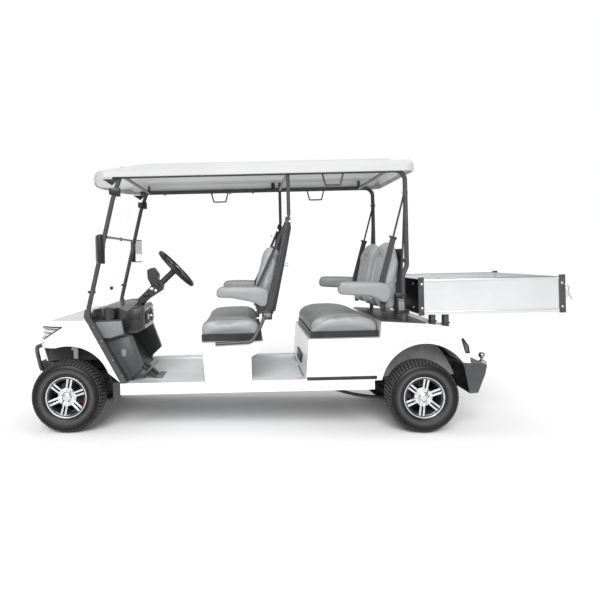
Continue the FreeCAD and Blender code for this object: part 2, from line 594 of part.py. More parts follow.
# Roof frame: side tubes that bend down into the rear posts, with cross-bars
side_tube = tube("side_tube", [("-345", "post_half", "rail_z"), ("rear_post_x", "post_half", "rail_z"),
                               ("rear_post_x", "post_half", "1100"),
                               ("rear_post_x + 30", "post_half", "1035"),
                               ("rear_post_x + 30", "post_half", "deck_high - 9")], "rail_tube", "70")
bars = [rod(f"roof_bar_{k}", (x, "-post_half", "rail_z"), "rail_tube - 4", "post_half * 2")
        for k, x in enumerate(("-420", "mid_top_x", "rear_post_x + 120"))]

# Grab handles on the side tubes
def handle(name, x, side):
    loop = tube(name, [(f"{x} - 72", "0", "rail_z - rail_tube + 4"), (f"{x} - 52", "0", "handle_z"),
                       (f"{x} + 52", "0", "handle_z"),
                       (f"{x} + 72", "0", "rail_z - rail_tube + 4")], "6", "12")
    loop.Placement.Base = spot("0", f"{side} * post_half", "0")
    return loop


grab_handles = [handle("handle_front", "-1035", -1), handle("handle_rear_right", "592 - wheelbase", -1),
                handle("handle_rear_left", "592 - wheelbase", 1)]
brackets = []
for k, x in enumerate(("-420", "mid_top_x", "rear_post_x + 120")):
    tab = common(f"roof_tab_{k}", block(f"roof_tab_block_{k}", (f"{x} - 10", "post_half - 8",
        "rail_z + 8"),
                                        (f"{x} + 10", "post_half + 8", "roof_crown")), roof_inner)
    brackets += both_sides(tab)
node("roof_frame", [fuse("roof_frame_solid", side_tube, mirrored(side_tube), *bars, *grab_handles,
                         *brackets)], ON_BODY)

# Front struts, each in a channel behind the cowl's edge
strut = tube("strut", [("strut_top_x - 8", "post_half", "rail_z"),
                       ("strut_bow_x", "post_half", "strut_bow_z"),
                       ("strut_foot_x", "post_half", "strut_foot_z")], "strut_tube", "400")
strut_fit = cut("strut_fit", strut, side_tube)
channel = slab("channel", "side", [
    ("cowl_foot_x - 1", "cowl_foot_z"), ("cowl_back_x - 1", "cowl_back_z"),
    ("strut_foot_x + strut_tube", "strut_foot_z"), ("strut_foot_x - strut_tube", "strut_foot_z"),
    ("cowl_back_x - 45", "cowl_back_z"), ("cowl_foot_x - 45", "cowl_foot_z")],
    "post_half", "body_half")

# Mid posts: one bent tube each side, from the roof down the backrest to the pod's flank
mid_post = tube("mid_post", [
    ("mid_top_x", "post_half", "rail_z - rail_tube"), ("mid_top_x", "post_half", "1477"),
    ("-1481", "post_half", "1147"), ("-1386", "post_half", "796"), ("-1350", "body_half - 12", "715"),
    ("-1285", "body_half + mid_tube + seat_gap", "606"),
    ("-1035", "body_half + mid_tube + seat_gap", "597")],
    "mid_tube", "55")
node("mid_posts", both_sides(mid_post), ON_BODY)

# Folding windscreen: two panes, and the hinge and clips that hold them to the struts
def screen_x(z):
    """Where the struts' line stands at a height."""
    slope = "(strut_foot_x - strut_bow_x) / (strut_bow_z - strut_foot_z)"
    return f"strut_bow_x + (strut_bow_z - ({z})) * {slope}"


def pane(name, low, high):
    return slab(name, "side", [
        (f"{screen_x(low)} - pane / 2", low), (f"{screen_x(low)} + pane / 2", low),
        (f"{screen_x(high)} + pane / 2", high), (f"{screen_x(high)} - pane / 2", high)],
        "-screen_half", "screen_half")


hinge_rod = rod("screen_hinge", (screen_x("fold_z"), "-post_half + strut_tube", "fold_z"), "8",
                "(post_half - strut_tube) * 2")
node("windscreen", [cut("lower_pane", pane("lower_glass", "screen_low", "fold_z"), hinge_rod),
                    cut("upper_pane", pane("upper_glass", "fold_z", "screen_high"), hinge_rod)], ON_BODY)
clips = []
for k, z in enumerate(("screen_low + 30", "screen_high - 40")):
    clip = rod(f"screen_clip_{k}", (screen_x(z), "screen_half", z), "7",
               "post_half - strut_tube - screen_half")
    clips += both_sides(clip)
strut_set = both_sides(fuse("strut_solid", strut_fit, channel))
node("front_struts", [fuse("struts_and_clips", *strut_set, hinge_rod), *clips], ON_BODY)

# Mirrors on short arms
mirror_head = block("mirror_head", ("-303", "body_half + 10", "1168"),
    ("-243", "body_half + 140", "1360"))
mirror_arm = rod("mirror_arm", (screen_x("1265"), "post_half + strut_tube - 2", "1265"), "7", "50")
node("mirrors", both_sides(fuse("mirror", mirror_head, cut("mirror_arm_fit", mirror_arm, strut))),
    ON_BODY)

# Dash and firewall
dash_top = slab("dash_top", "side", [
    ("-222", "dash_low"), ("cowl_back_x - 3", "cowl_back_z"), ("-162", "dash_high - 14"),
    ("-250", "dash_high"),
    ("-345", "dash_high - 4", "round", "14"), ("-395", "dash_high - 32"), ("-403", "dash_foot"),
    ("-300", "dash_low")], "-dash_top_half", "dash_top_half")
dash_wings = slab("dash_wings", "side", [
    ("-222", "dash_low"), ("-180", "cup_base"), ("-388", "cup_base + 5"), ("-403", "dash_foot"),
    ("-300", "dash_low")], "-dash_half", "dash_half")
binnacle = slab("binnacle", "side", [
    ("-380", "800"), ("-446", "852", "round", "20"), ("-516", "858", "round", "14"), ("-530", "838"),
    ("-530", "694", "round", "14"), ("-470", "dash_foot - 1"), ("-403", "dash_foot - 1")],
    "binnacle_in", "dash_top_half + 20")
cup_walls = [rod(f"cup_wall_{k}", ("-286", y, "cup_base - 6"), "cup_radius + 10", "cup_deep + 12", "z")
             for k, y in enumerate(("cup_out", "-cup_out"))]
dash_solid = fuse("dash_solid", dash_top, dash_wings, binnacle, *cup_walls)
TILT = Rotation(Vector(0, 1, 0), -(90 - size("column_angle")))
column = rod("column", ("wheel_x + column_long * cos(column_angle)", "wheel_y",
                        "wheel_z - column_long * sin(column_angle)"), "column_radius",
             "column_long - hub_deep - seat_gap", turn=TILT)
shroud = slab("column_shroud", "side", [
    ("-446", "888"), ("-496", "870"), ("-640", "960", "round", "20"), ("-648", "1012", "round", "12"),
    ("-604", "1036", "round", "12")], "wheel_y - shroud_half", "wheel_y + shroud_half")
gauge = slab("gauge_pod", "side", [
    ("-560", "990"), ("-534", "1044"), ("-530", "1108", "round", "12"), ("-572", "1126", "round", "12"),
    ("-612", "1066", "round", "12"), ("-604", "1010")], "wheel_y - 50", "wheel_y + 50")
node("steering_column", [fuse("column_solid", column, shroud, gauge)], ON_BODY)
cups = [rod(f"cup_{k}", ("-286", y, "cup_base + 4"), "cup_radius", "cup_deep + 30", "z")
        for k, y in enumerate(("cup_out", "-cup_out"))]
node("dash", [cut("dash_shell", dash_solid, column, *cups)], ON_BODY)
wall_sheet = slab("wall_sheet", "side", [
    ("-236", "dash_low - seat_gap"), ("-426", "floor_top"), ("-434", "floor_top"),
    ("-244", "dash_low - seat_gap")], "-dash_half", "dash_half")
cheek = slab("cheek", "side", [
    ("-238", "dash_low - 1"), ("-300", "dash_low - 1"), ("-394", "dash_foot - 4"),
    ("-438", "650", "round", "12"), ("-513", "438", "round", "14"), ("-428", "360"),
    ("-428", "floor_top")],
    "flange_in - 62", "flange_in - 2")
node("firewall", [cut("firewall_fit", fuse("firewall_solid", wall_sheet, cheek, mirrored(cheek)),
                      sill_pair, dash_solid)], ON_BODY)

# Steering wheel about its own tilted axis
ring = doc.addObject("Part::Torus", "ring")
ring.setExpression("Radius1", "Sizes.ring_radius")
ring.setExpression("Radius2", "Sizes.ring_tube")
hub = rod("wheel_hub", ("0", "0", "-hub_deep"), "28", "hub_deep + 12", "z")
spokes = []
arm = block("wheel_spoke", ("20", "-11", "-8"), ("ring_radius - ring_tube / 2", "11", "4"))
for k, angle in enumerate((90, 210, 330)):
    spokes.append(wheel_turned(f"wheel_spoke_{k}", arm, Vector(0, 0, 1), angle))
steering = fuse("steering_solid", ring, hub, *spokes)
steering.Placement = FreeCAD.Placement(spot("wheel_x", "wheel_y", "wheel_z"), TILT)
node("steering_wheel", [steering], ON_BODY)

# Pedals hinged on the floor
pedals = []
for k, y in enumerate((180, 300)):
    pedals.append(slab(f"pedal_{k}", "side", [
        ("-560", "floor_top"), ("-472", "410"), ("-480", "418"), ("-576", "floor_top + 8"),
        ("-576", "floor_top")], f"{y} - 35", f"{y} + 35"))
node("pedals", pedals, ON_BODY)
node("battery_block", [block("battery", ("pod_back_foot + wall + 8", "-battery_half", "floor_top"),
                             ("pod_front_foot - wall - 8", "battery_half", "pod_top - wall - 12"))],
                             ON_BODY)

# Benches: tray, cushion, two backrests on a shell, armrests
def bench(name, front, back, low, top, crown):
    tray = block(name + "_tray", (f"{back} - 5", "-seat_half - 8", low),
        (f"{front} - 12", "seat_half + 8", top))
    cushion = slab(name + "_cushion", "side", [
        (f"{back} + 2", f"{top} + seat_gap"), (front, f"{top} + seat_gap"),
        (front, f"{crown} - 14", "round", "48"), (f"{back} + 2", crown, "round", "30")],
        "-seat_half", "seat_half")
    return tray, cushion


front_tray, front_cushion = bench("front", "seat_front", "seat_back", "pod_top", "tray_top", "seat_crown")
rear_tray, rear_cushion = bench("rear", "rear_seat_front", "rear_seat_back", "box_top", "rear_tray_top",
                                "rear_seat_crown")
node("seat_trays", [front_tray, cut("rear_tray_trim", rear_tray, rear_outer)], ON_BODY)
node("cushions", [front_cushion, cut("rear_cushion_trim", rear_cushion, rear_outer)], ON_BODY)
front_back = slab("front_back", "side", [
    ("-1296", "back_low"), ("-1312", "884"), ("-1407", "1245", "round", "26"),
    ("-1486", "1266", "round", "30"), ("-1498", "1200"), ("-1424", "back_low")], "6", "seat_half - 4")
front_shell = slab("front_shell", "side", [
    ("-1425", "back_low"), ("-1499", "1200"), ("-1511", "1200"), ("-1437", "back_low")],
    "-seat_half", "seat_half")
grip = block("front_grip", ("-1480", "seat_half - 4", "985"), ("-1438", "post_half", "1015"))
front_grips = cut("front_grips", grip, front_back, mid_post)
front_shell_whole = fuse("front_shell_solid", front_shell, front_grips, mirrored(front_grips))
rear_back = slab("rear_back", "side", [
    ("302 - wheelbase", "rear_back_low"), ("280 - wheelbase", "982"),
    ("204 - wheelbase", "1262", "round", "26"),
    ("140 - wheelbase", "1275", "round", "26"), ("126 - wheelbase", "1150"),
    ("172 - wheelbase", "rear_back_low")],
    "6", "seat_half - 4")
node("backrests", both_sides(front_back) + both_sides(rear_back), ON_BODY)
rear_shell_plate = slab("rear_shell_plate", "side", [
    ("171 - wheelbase", "rear_back_low"), ("125 - wheelbase", "1150"), ("131 - wheelbase", "1220"),
    ("119 - wheelbase", "1220"),
    ("113 - wheelbase", "1150"), ("159 - wheelbase", "rear_back_low")], "-seat_half", "seat_half")
rear_grip = block("rear_grip", ("98 - wheelbase", "seat_half - 4", "1125"),
    ("119 - wheelbase", "post_half", "1150"))
rear_grips = cut("rear_grips", rear_grip, rear_back, side_tube)
rear_shell_whole = fuse("rear_shell_solid", rear_shell_plate, rear_grips, mirrored(rear_grips))
node("back_shells", [front_shell_whole, rear_shell_whole], ON_BODY)


def armrest(name, front, rear, high):
    return slab(name, "side", [
        (front, f"{high} - 52", "round", "22"), (front, f"{high} - 12", "round", "20"),
        (f"{front} - 90", high), (f"{rear} + 60", f"{high} - 4", "round", "20"),
        (rear, f"{high} - 30", "round", "20"), (rear, f"{high} - 125", "round", "14"),
        (f"{rear} + 90", f"{high} - 125")], "post_half - 15", "post_half + 45")


front_arm = cut("front_arm", armrest("front_arm_pad", "-1051", "-1420", "995"), mid_post, front_back)
rear_arm_pad = armrest("rear_arm_pad", "568 - wheelbase", "192 - wheelbase", "994")
rear_arm_bar = block("rear_arm_bar", ("104 - wheelbase", "post_half - 8", "905"),
    ("212 - wheelbase", "post_half + 8", "930"))
rear_arm = cut("rear_arm", fuse("rear_arm_whole", rear_arm_pad, rear_arm_bar), side_tube, rear_back)
node("armrests", both_sides(front_arm) + both_sides(rear_arm), ON_BODY)

# Seat belts: webbing along each post, with a ring above and a reel below
def strap(name, x_top, z_top, x_low, z_low):
    return slab(name, "side", [(f"{x_top} + 14", z_top), (f"{x_top} - 14", z_top),
                               (f"{x_low} - 14", z_low), (f"{x_low} + 14", z_low)],
                               "post_half - belt_inset", "post_half - belt_inset + belt_thick")


straps = [strap("front_strap", "-1532", "1478", "-1372", "815"),
          strap("rear_strap", "108 - wheelbase", "1590", "152 - wheelbase", "850")]
reels = [block("front_reel", ("-1402", "post_half - 26", "755"), ("-1362", "post_half - 8", "815")),
         block("rear_reel", ("117 - wheelbase", "post_half - 26", "780"),
             ("172 - wheelbase", "post_half", "850")),
         block("front_ring", ("-1566", "post_half - 24", "1478"), ("-1516", "post_half - 8", "1500")),
         block("rear_ring", ("88 - wheelbase", "post_half - 24", "1590"),
             ("122 - wheelbase", "post_half - 8", "1612"))]
node("belts", both_sides(straps[0]) + both_sides(straps[1]), ON_BODY)
fitted = [cut(reel.Name + "_fit", reel, mid_post, side_tube) for reel in reels]
node("belt_hardware", [piece for reel in fitted for piece in both_sides(reel)], ON_BODY)

# Front bumper hoop, rear bumper, tow hitch, lamps and end pieces
hoop = tube("hoop", [("rail_front - 50", "hoop_foot", "381"), ("180", "hoop_foot", "381"),
                     ("250", "335", "400"), ("284", "hoop_half", "563"), ("284", "-hoop_half", "563"),
                     ("250", "-335", "400"), ("180", "-hoop_foot", "381"),
                     ("rail_front - 50", "-hoop_foot", "381")], "15", "40")
hoop_feet = block("hoop_feet", ("rail_front - 70", "-hoop_foot - 15", "rail_high"),
                  ("rail_front - 20", "hoop_foot + 15", "381"))
node("front_bumper", [fuse("hoop_solid", hoop, hoop_feet)], ON_BODY)
bumper_outer = slab("bumper_outer", "side", [
    ("-262 - wheelbase", "424"), ("-275 - wheelbase", "400"), ("-308 - wheelbase", "217"),
    ("-365 - wheelbase", "220"), ("-418 - wheelbase", "350"),
    ("-430 - wheelbase", "412"), ("-323 - wheelbase", "424")], "-body_half", "body_half")
bumper_inner = slab("bumper_inner", "side", [
    ("-238 - wheelbase", "418"), ("-238 - wheelbase", "200"), ("-308 - wheelbase", "200"),
    ("-308 - wheelbase", "223"), ("-360 - wheelbase", "226"),
    ("-412 - wheelbase", "350"), ("-423 - wheelbase", "406"), ("-323 - wheelbase", "418")],
    "-body_half + wall", "body_half - wall")
tow_bar = block("tow_bar", ("rail_rear - tow_long", "-25", "tow_z"),
    ("rail_rear - 42", "25", "tow_z + tow_deep"))
tow_plate = block("tow_plate", ("rail_rear - 42", "-40", "tow_z"), ("rail_rear", "40", "rail_rear_high"))
ball = turned("ball", [("0", "0"), ("0", "22"), ("6", "22"), ("6", "12"), ("24", "12"),
                       ("30", "19", "arc", "-25"), ("67", "15"), ("67", "0")], "z",
              ("rail_rear - tow_long + 30", "0", "tow_z + tow_deep"))
node("rear_bumper", [cut("bumper_shell", bumper_outer, bumper_inner, tow_bar, tow_plate)], ON_BODY)
node("hitch", [fuse("hitch_solid", tow_bar, tow_plate, ball)], ON_BODY)

# Cargo bed: floor, three fixed walls, corner posts, and the cross-bars under it
bed_parts = [block("bed_plate", ("bed_rear + 36", "-bed_half", "bed_low"),
                   ("bed_front", "bed_half", "bed_low + bed_floor"))]
for side, low, high in (("left", "bed_half - panel_thick", "bed_half"),
                        ("right", "-bed_half", "-bed_half + panel_thick")):
    bed_parts.append(block(f"bed_side_{side}", ("bed_rear", low, "bed_low + 4"),
        ("bed_front", high, "bed_top")))
bed_parts.append(block("bed_head", ("bed_front - panel_thick", "-bed_half", "bed_low"),
                       ("bed_front", "bed_half", "bed_top")))
barrels = []
for k, side in enumerate((1, -1)):
    low, high = f"{side} * hinge_y - hinge_wide / 2", f"{side} * hinge_y + hinge_wide / 2"
    for lug_low, lug_high in ((f"{low} - seat_gap - 12", f"{low} - seat_gap"),
                              (f"{high} + seat_gap", f"{high} + seat_gap + 12")):
        bed_parts.append(slab(f"hinge_lug_{len(bed_parts)}", "side", [
            ("bed_rear - hinge_radius", "hinge_z - hinge_radius"),
            ("bed_rear + 50", "hinge_z - hinge_radius"),
            ("bed_rear + 50", "bed_low + 2"), ("bed_rear + 37", "bed_low + 2"),
            ("bed_rear + 5", "hinge_z + 5"), ("bed_rear - hinge_radius", "hinge_z + 5")],
            lug_low, lug_high))
    bed_parts.append(rod(f"hinge_pin_{k}", ("bed_rear", f"{low} - 10", "hinge_z"), "hinge_pin",
                         "hinge_wide + 20"))
    barrel = rod(f"barrel_{k}", ("bed_rear", low, "hinge_z"), "hinge_radius", "hinge_wide")
    leaf = block(f"hinge_leaf_{k}", ("bed_rear", low, "hinge_z"), ("bed_rear + 20", high, "bed_low + 12"))
    bore = rod(f"hinge_bore_{k}", ("bed_rear", f"{low} - 1", "hinge_z"), "hinge_pin + 0.05",
        "hinge_wide + 2")
    barrels.append(cut(f"barrel_bored_{k}", fuse(f"barrel_whole_{k}", barrel, leaf), bore))
bed_parts.append(block("bed_sheet", ("bed_rear + 38", "-bed_half + panel_thick + 2",
    "bed_low + bed_floor"),
                       ("bed_front - panel_thick - 2", "bed_half - panel_thick - 2",
                        "bed_low + bed_floor + 2")))
for k, (low, high, deep) in enumerate((("bed_low + 4", "bed_low + 16", "4"),
                                       ("bed_top - 16", "bed_top", "5"))):
    strip = block(f"bed_strip_{k}", ("bed_rear + 39 + seat_gap", "bed_half - 1", low),
                  ("bed_front - 23 - seat_gap", f"bed_half + {deep}", high))
    bed_parts += both_sides(strip)
node("bed_tray", [fuse("bed_solid", *bed_parts)], ON_BODY)
bed_corner = block("bed_corner", ("bed_rear - 4", "bed_half", "bed_low - 5"),
                   ("bed_rear + 39", "bed_half + 6", "post_top"))
bed_corner_front = block("bed_corner_front", ("bed_front - 23", "bed_half", "bed_low - 5"),
                         ("bed_front + 15", "bed_half + 6", "post_top"))
supports = []
for k, x in enumerate(("-81 - wheelbase", "-173 - wheelbase")):
    post = block(f"bed_post_{k}", (f"{x} - 16", "bed_half - 80", "600"),
                 (f"{x} + 16", "bed_half - 20", "bed_low"))
    supports += both_sides(cut(f"bed_support_{k}", post, rear_outer))
deck_line = [("deck_front - 8", "deck_high + seat_gap"), ("deck_mid_x", "deck_mid_z + seat_gap")]
deck_plate = slab("deck_plate", "side", [
    *deck_line, ("deck_mid_x", "deck_mid_z + 8"), ("deck_front - 8", "deck_high + 8")],
    "-body_half + deck_inset", "body_half - deck_inset")
deck_cover = cut("deck_cover", deck_plate, side_tube, mirrored(side_tube))
node("bed_frame", [*both_sides(bed_corner), *both_sides(bed_corner_front), *supports, deck_cover],
    ON_BODY)
gate = block("gate", ("bed_rear + 6", "-gate_half", "bed_low + 5"),
    ("bed_rear + 31", "gate_half", "bed_top"))
latch = slab("latch", "side", [("bed_rear + 6", "845"), ("bed_rear - 60", "850"),
    ("bed_rear - 70", "872"),
                               ("bed_rear - 40", "935"), ("bed_rear + 6", "930")],
             "gate_half - 55", "gate_half - 45")
node("tailgate", [fuse("tailgate_solid", gate, *both_sides(latch), *barrels)], ON_BODY)

# Front axle, dampers and steering gear
beam = rod("beam", ("0", "-350", "150"), "axle_beam - 4", "700")
yokes = []
for side in (1, -1):
    tag = "left" if side > 0 else "right"
    yoke = slab(f"yoke_{tag}", "front", [
        (f"{side} * 338", "140"), (f"{side} * 354", "140"), (f"{side} * 354", "186"),
        (f"{side} * 408", "186"), (f"{side} * 408", "203"), (f"{side} * 356", "203"),
        (f"{side} * 356", "293"), (f"{side} * 408", "293"), (f"{side} * 408", "310"),
        (f"{side} * 338", "310")], "-20", "20")
    pin = rod(f"kingpin_{tag}", ("0", f"{side} * kingpin_half", "186"), "kingpin_radius", "124", "z")
    yokes += [yoke, pin]
links = []
for side in (1, -1):
    links.append(tube(f"link_{side + 1}", [("0", f"{side * 150}", "150"),
        ("-420.4", f"{side * 150}", "240")],
                      "10", "40"))
node("front_axle", [fuse("front_axle_solid", beam, *yokes, *links)], ON_GROUND)


def knuckle(tag, side):
    """The knuckle turns on the kingpin: a block with a spindle and a steering arm."""
    k = f"{side} * kingpin_half"
    body_block = block("knuckle_block_" + tag, ("-22", f"{k} - 22", "203 + seat_gap"),
                       ("22", f"{k} + 22", "293 - seat_gap"))
    start = k if side > 0 else f"{k} - spindle_long"
    spindle = rod("spindle_" + tag, ("0", start, "wheel_radius"), "spindle_radius", "spindle_long")
    arm = block("arm_" + tag, ("-arm_back - 12", f"{k} - 12", "208"), ("0", f"{k} + 12", "222"))
    caliper = [block(f"caliper_{tag}_{i}", ("-103", f"{side} * {mid} - {deep}", "208"),
                     (inner, f"{side} * {mid} + {deep}", "284"))
               for i, (mid, deep, inner) in enumerate((("(wheel_plane - 75)", "14", "-20"),
                                                       ("(wheel_plane - 38)", "8", "-55"),
                                                       ("(wheel_plane - 56)", "26", "-97")))]
    bore = rod("knuckle_bore_" + tag, ("0", k, "180"), "kingpin_radius + 0.05", "140", "z")
    node("knuckle_" + tag, [cut("knuckle_solid_" + tag, fuse("knuckle_whole_" + tag, body_block,
        spindle, arm, *caliper),
                                bore)], ON_GROUND)


knuckle("left", 1)
knuckle("right", -1)
rod_bar = rod("tie_rod_bar", ("-arm_back", "-kingpin_half", "208 - seat_gap - rod_radius"), "rod_radius",
              "kingpin_half * 2")
node("tie_rod", [rod_bar], ON_GROUND)

# Rear axle with its gear case and motor, and leaf springs
rear_beam = rod("rear_beam", ("-wheelbase", "-392", "wheel_radius"), "rear_tube", "784")
gear_case = turned("gear_case", [("-20", "0"), ("-20", "95"), ("10", "case_radius"),
    ("90", "case_radius"),
                                 ("120", "90"), ("120", "0")], "y", ("-wheelbase", "0", "wheel_radius"))
motor = rod("motor", ("-wheelbase + 30", "-20 - motor_length + 60", "wheel_radius + 10"), "motor_radius",
            "motor_length - 60")
bores = [rod(f"axle_bore_{k}", ("-wheelbase", y, "wheel_radius"), "spindle_radius + 0.05", "80")
         for k, y in enumerate(("320", "-400"))]
node("rear_axle", [cut("rear_axle_solid", fuse("rear_axle_whole", rear_beam, gear_case, motor), *bores)],
     ON_GROUND)
leaf = slab("leaf", "side", [
    ("602 - wheelbase", "258.3", "arc", "-1060"), ("-228 - wheelbase", "284.3"),
    ("-228 - wheelbase", "268.3", "arc", "1076"),
    ("602 - wheelbase", "242.3")], "232", "282")
leaf_pin = rod("leaf_pin", ("600 - wheelbase", "225 + seat_gap", "248"), "9", "57")
shackle = block("shackle", ("-240 - wheelbase", "226", "262"), ("-216 - wheelbase", "232", "470"))
leaf_pair = both_sides(fuse("leaf_solid", leaf, leaf_pin, shackle))
damper = turned("damper", [("0", "0"), ("0", "30"), ("18", "40"), ("190", "40"), ("200", "22"),
                           ("260", "22"), ("260", "0")], "z", ("0", "290", "178 + seat_gap"))
node("springs", leaf_pair + both_sides(damper), ON_GROUND)


doc.recompute()
for obj in doc.Objects:
    bad = [word for word in obj.State if word in ("Invalid", "Error")]
    if bad:
        raise SystemExit(f"{obj.Name} failed: {bad}")
os.makedirs("parts", exist_ok=True)
for label, group in nodes.items():
    shape = group.Shape
    if shape.isNull() or not shape.isValid():
        raise SystemExit(f"{label} has no valid shape")
    shape.exportStep(f"parts/{label}.step")
    box = shape.BoundBox
    print(f"{label:18s} {len(shape.Solids):3d} solids  X {box.XMin:8.1f} {box.XMax:8.1f}  "
          f"Y {box.YMin:7.1f} {box.YMax:7.1f}  Z {box.ZMin:7.1f} {box.ZMax:7.1f}")
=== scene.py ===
# %% [markdown]
# A golf cart dressed for the camera.
# The solid model gives every piece its place and size. This script loads it, sets up the studio,
# and then goes round the cart piece by piece: what the piece is on the real cart, how it could be
# made in Blender, and why it is made the way it is here.

# %% Load the solid model
import math

import bpy
import bmesh
from mathutils import Matrix, Vector


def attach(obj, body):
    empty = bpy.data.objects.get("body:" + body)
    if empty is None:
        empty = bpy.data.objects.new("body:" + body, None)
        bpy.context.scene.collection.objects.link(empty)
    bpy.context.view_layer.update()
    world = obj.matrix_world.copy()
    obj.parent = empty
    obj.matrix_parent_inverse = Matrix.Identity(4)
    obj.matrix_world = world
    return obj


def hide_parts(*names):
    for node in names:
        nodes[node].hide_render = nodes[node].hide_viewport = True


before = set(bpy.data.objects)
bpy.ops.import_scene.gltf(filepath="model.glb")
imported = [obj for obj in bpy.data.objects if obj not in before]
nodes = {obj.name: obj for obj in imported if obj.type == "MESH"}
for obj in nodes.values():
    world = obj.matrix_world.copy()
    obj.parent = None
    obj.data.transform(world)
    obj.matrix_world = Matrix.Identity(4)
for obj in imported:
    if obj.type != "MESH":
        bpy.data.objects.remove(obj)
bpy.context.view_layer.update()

# %% [markdown]
# The cart's body sits nose-down by a little over a degree on its springs, as it does in the
# photograph. It is easier to draw body pieces level and lean them all at once, so pieces on the
# body are drawn from a datum on the ground under the front axle and one matrix puts them in place.
# The wheels and axles don't lean, so they have a matrix of their own.

# %% Two datums
MM = 0.001
FRONT_AXLE = 1597.5 * MM
WHEELBASE = 2462 * MM
AXLE_HIGH = 248 * MM
RAKE = 1.3


def turned(axis, degrees, size=3):
    """A rotation about an axis, by degrees."""
    return Matrix.Rotation(math.radians(degrees), size, axis)


GROUND = Matrix.Translation((FRONT_AXLE, 0, 0))
BODY = (GROUND @ Matrix.Translation((0, 0, AXLE_HIGH)) @ turned("Y", RAKE, 4)
        @ Matrix.Translation((0, 0, -AXLE_HIGH)))
print("body datum in the cart's frame:", [round(c, 4) for c in BODY.translation])

# %% [markdown]
# The photograph looks at the driver's side from 4.85 m away and a little above the seats, with
# upright posts staying upright. That is a level camera whose picture is shifted, as a view camera's
# is, so the shift is used and the camera isn't tilted. The line of sight meets the picture at
# SIGHT_X, SIGHT_Y, in the photograph's pixels, and its focal length is in pixels too.

# %% Camera
PHOTO = 600
FOCAL = 620
SIGHT_X, SIGHT_Y = 249, 257.4
EYE = (0.341, 4.85, 1.212)
SENSOR = 36

camera_data = bpy.data.cameras.new("photo_camera")
camera_data.sensor_width = SENSOR
camera_data.lens = SENSOR * FOCAL / PHOTO
camera_data.shift_x = (PHOTO / 2 - SIGHT_X) / PHOTO
camera_data.shift_y = -(PHOTO / 2 - SIGHT_Y) / PHOTO
camera = bpy.data.objects.new("photo_camera", camera_data)
camera.location = EYE
camera.rotation_euler = (math.radians(90), 0, math.radians(180))
bpy.context.collection.objects.link(camera)
bpy.context.scene.camera = camera
print("lens:", round(camera_data.lens, 2))

# %% [markdown]
# The photograph was lit by one broad lamp beside the camera, low enough that the cart's shadow
# falls behind it, with plenty of white all round to fill the dark side. A sun lamp with a wide
# angle is the simplest lamp that does this: its shadow has the same soft edge everywhere, and the
# floor stays evenly white. The world's white glow is the fill, and a weak panel overhead adds a
# streak along glossy edges. The camera sees a brighter white than the one that lights the cart, so
# the backdrop comes out as clean paper.

# %% Studio
SKY_FILL, BACKDROP = 0.55, 1.02

scene = bpy.context.scene
scene.view_settings.view_transform = "Standard"
scene.view_settings.look = "None"

world = bpy.data.worlds.new("studio")
scene.world = world
world.use_nodes = True
sky = world.node_tree.nodes["Background"]
sky.inputs["Color"].default_value = (1, 1, 1, 1)
sky.inputs["Strength"].default_value = SKY_FILL
backdrop = world.node_tree.nodes.new("ShaderNodeBackground")
backdrop.inputs["Color"].default_value = (1, 1, 1, 1)
backdrop.inputs["Strength"].default_value = BACKDROP
seen = world.node_tree.nodes.new("ShaderNodeLightPath")
either = world.node_tree.nodes.new("ShaderNodeMixShader")
for start, end in ((seen.outputs["Is Camera Ray"], either.inputs[0]), (sky.outputs[0], either.inputs[1]),
                   (backdrop.outputs[0], either.inputs[2]),
                   (either.outputs[0], world.node_tree.nodes["World Output"].inputs[0])):
    world.node_tree.links.new(start, end)


def studio_lamp(name, kind, place, aim, power, **size):
    """A lamp at a place, turned to face a point."""
    data = bpy.data.lights.new(name, kind)
    data.energy = power
    for word, value in size.items():
        setattr(data, word, value)
    lamp = bpy.data.objects.new(name, data)
    lamp.location = place
    lamp.rotation_euler = (Vector(aim) - Vector(place)).to_track_quat("-Z", "Y").to_euler()
    bpy.context.collection.objects.link(lamp)


studio_lamp("key_lamp", "SUN", (0.9, 8, 5.2), (0, 0, 0.5), 3.2, angle=math.radians(34))
studio_lamp("top_panel", "AREA", (0, -0.6, 4.6), (0, 0, 1.0), 45, shape="RECTANGLE", size=5, size_y=3)
print("lamps:", [lamp.name for lamp in bpy.data.lights])

# %% [markdown]
# A finish is a material made of nodes. Node trees are long to write out one link at a time, so two
# small helpers stand in for the node editor: a wrapper that lets a socket be used in arithmetic,
# and one method that adds any node from its type, its settings and what goes into its sockets. The
# nodes that come back in many finishes, such as noise, bands and a blend, have a short name each.

# %% Shader helpers
class Wire:
    """An output socket that can be added, multiplied and so on, making Math nodes."""

    def __init__(self, finish, socket):
        self.finish, self.socket = finish, socket

    def join(self, how, first, second):
        """A Math node on two values."""
        return self.finish.add("ShaderNodeMath", {"operation": how}, {0: first, 1: second})

    def __add__(self, other):
        return self.join("ADD", self, other)

    def __sub__(self, other):
        return self.join("SUBTRACT", self, other)

    def __rsub__(self, other):
        return self.join("SUBTRACT", other, self)

    def __mul__(self, other):
        return self.join("MULTIPLY", self, other)

    __radd__, __rmul__ = __add__, __mul__


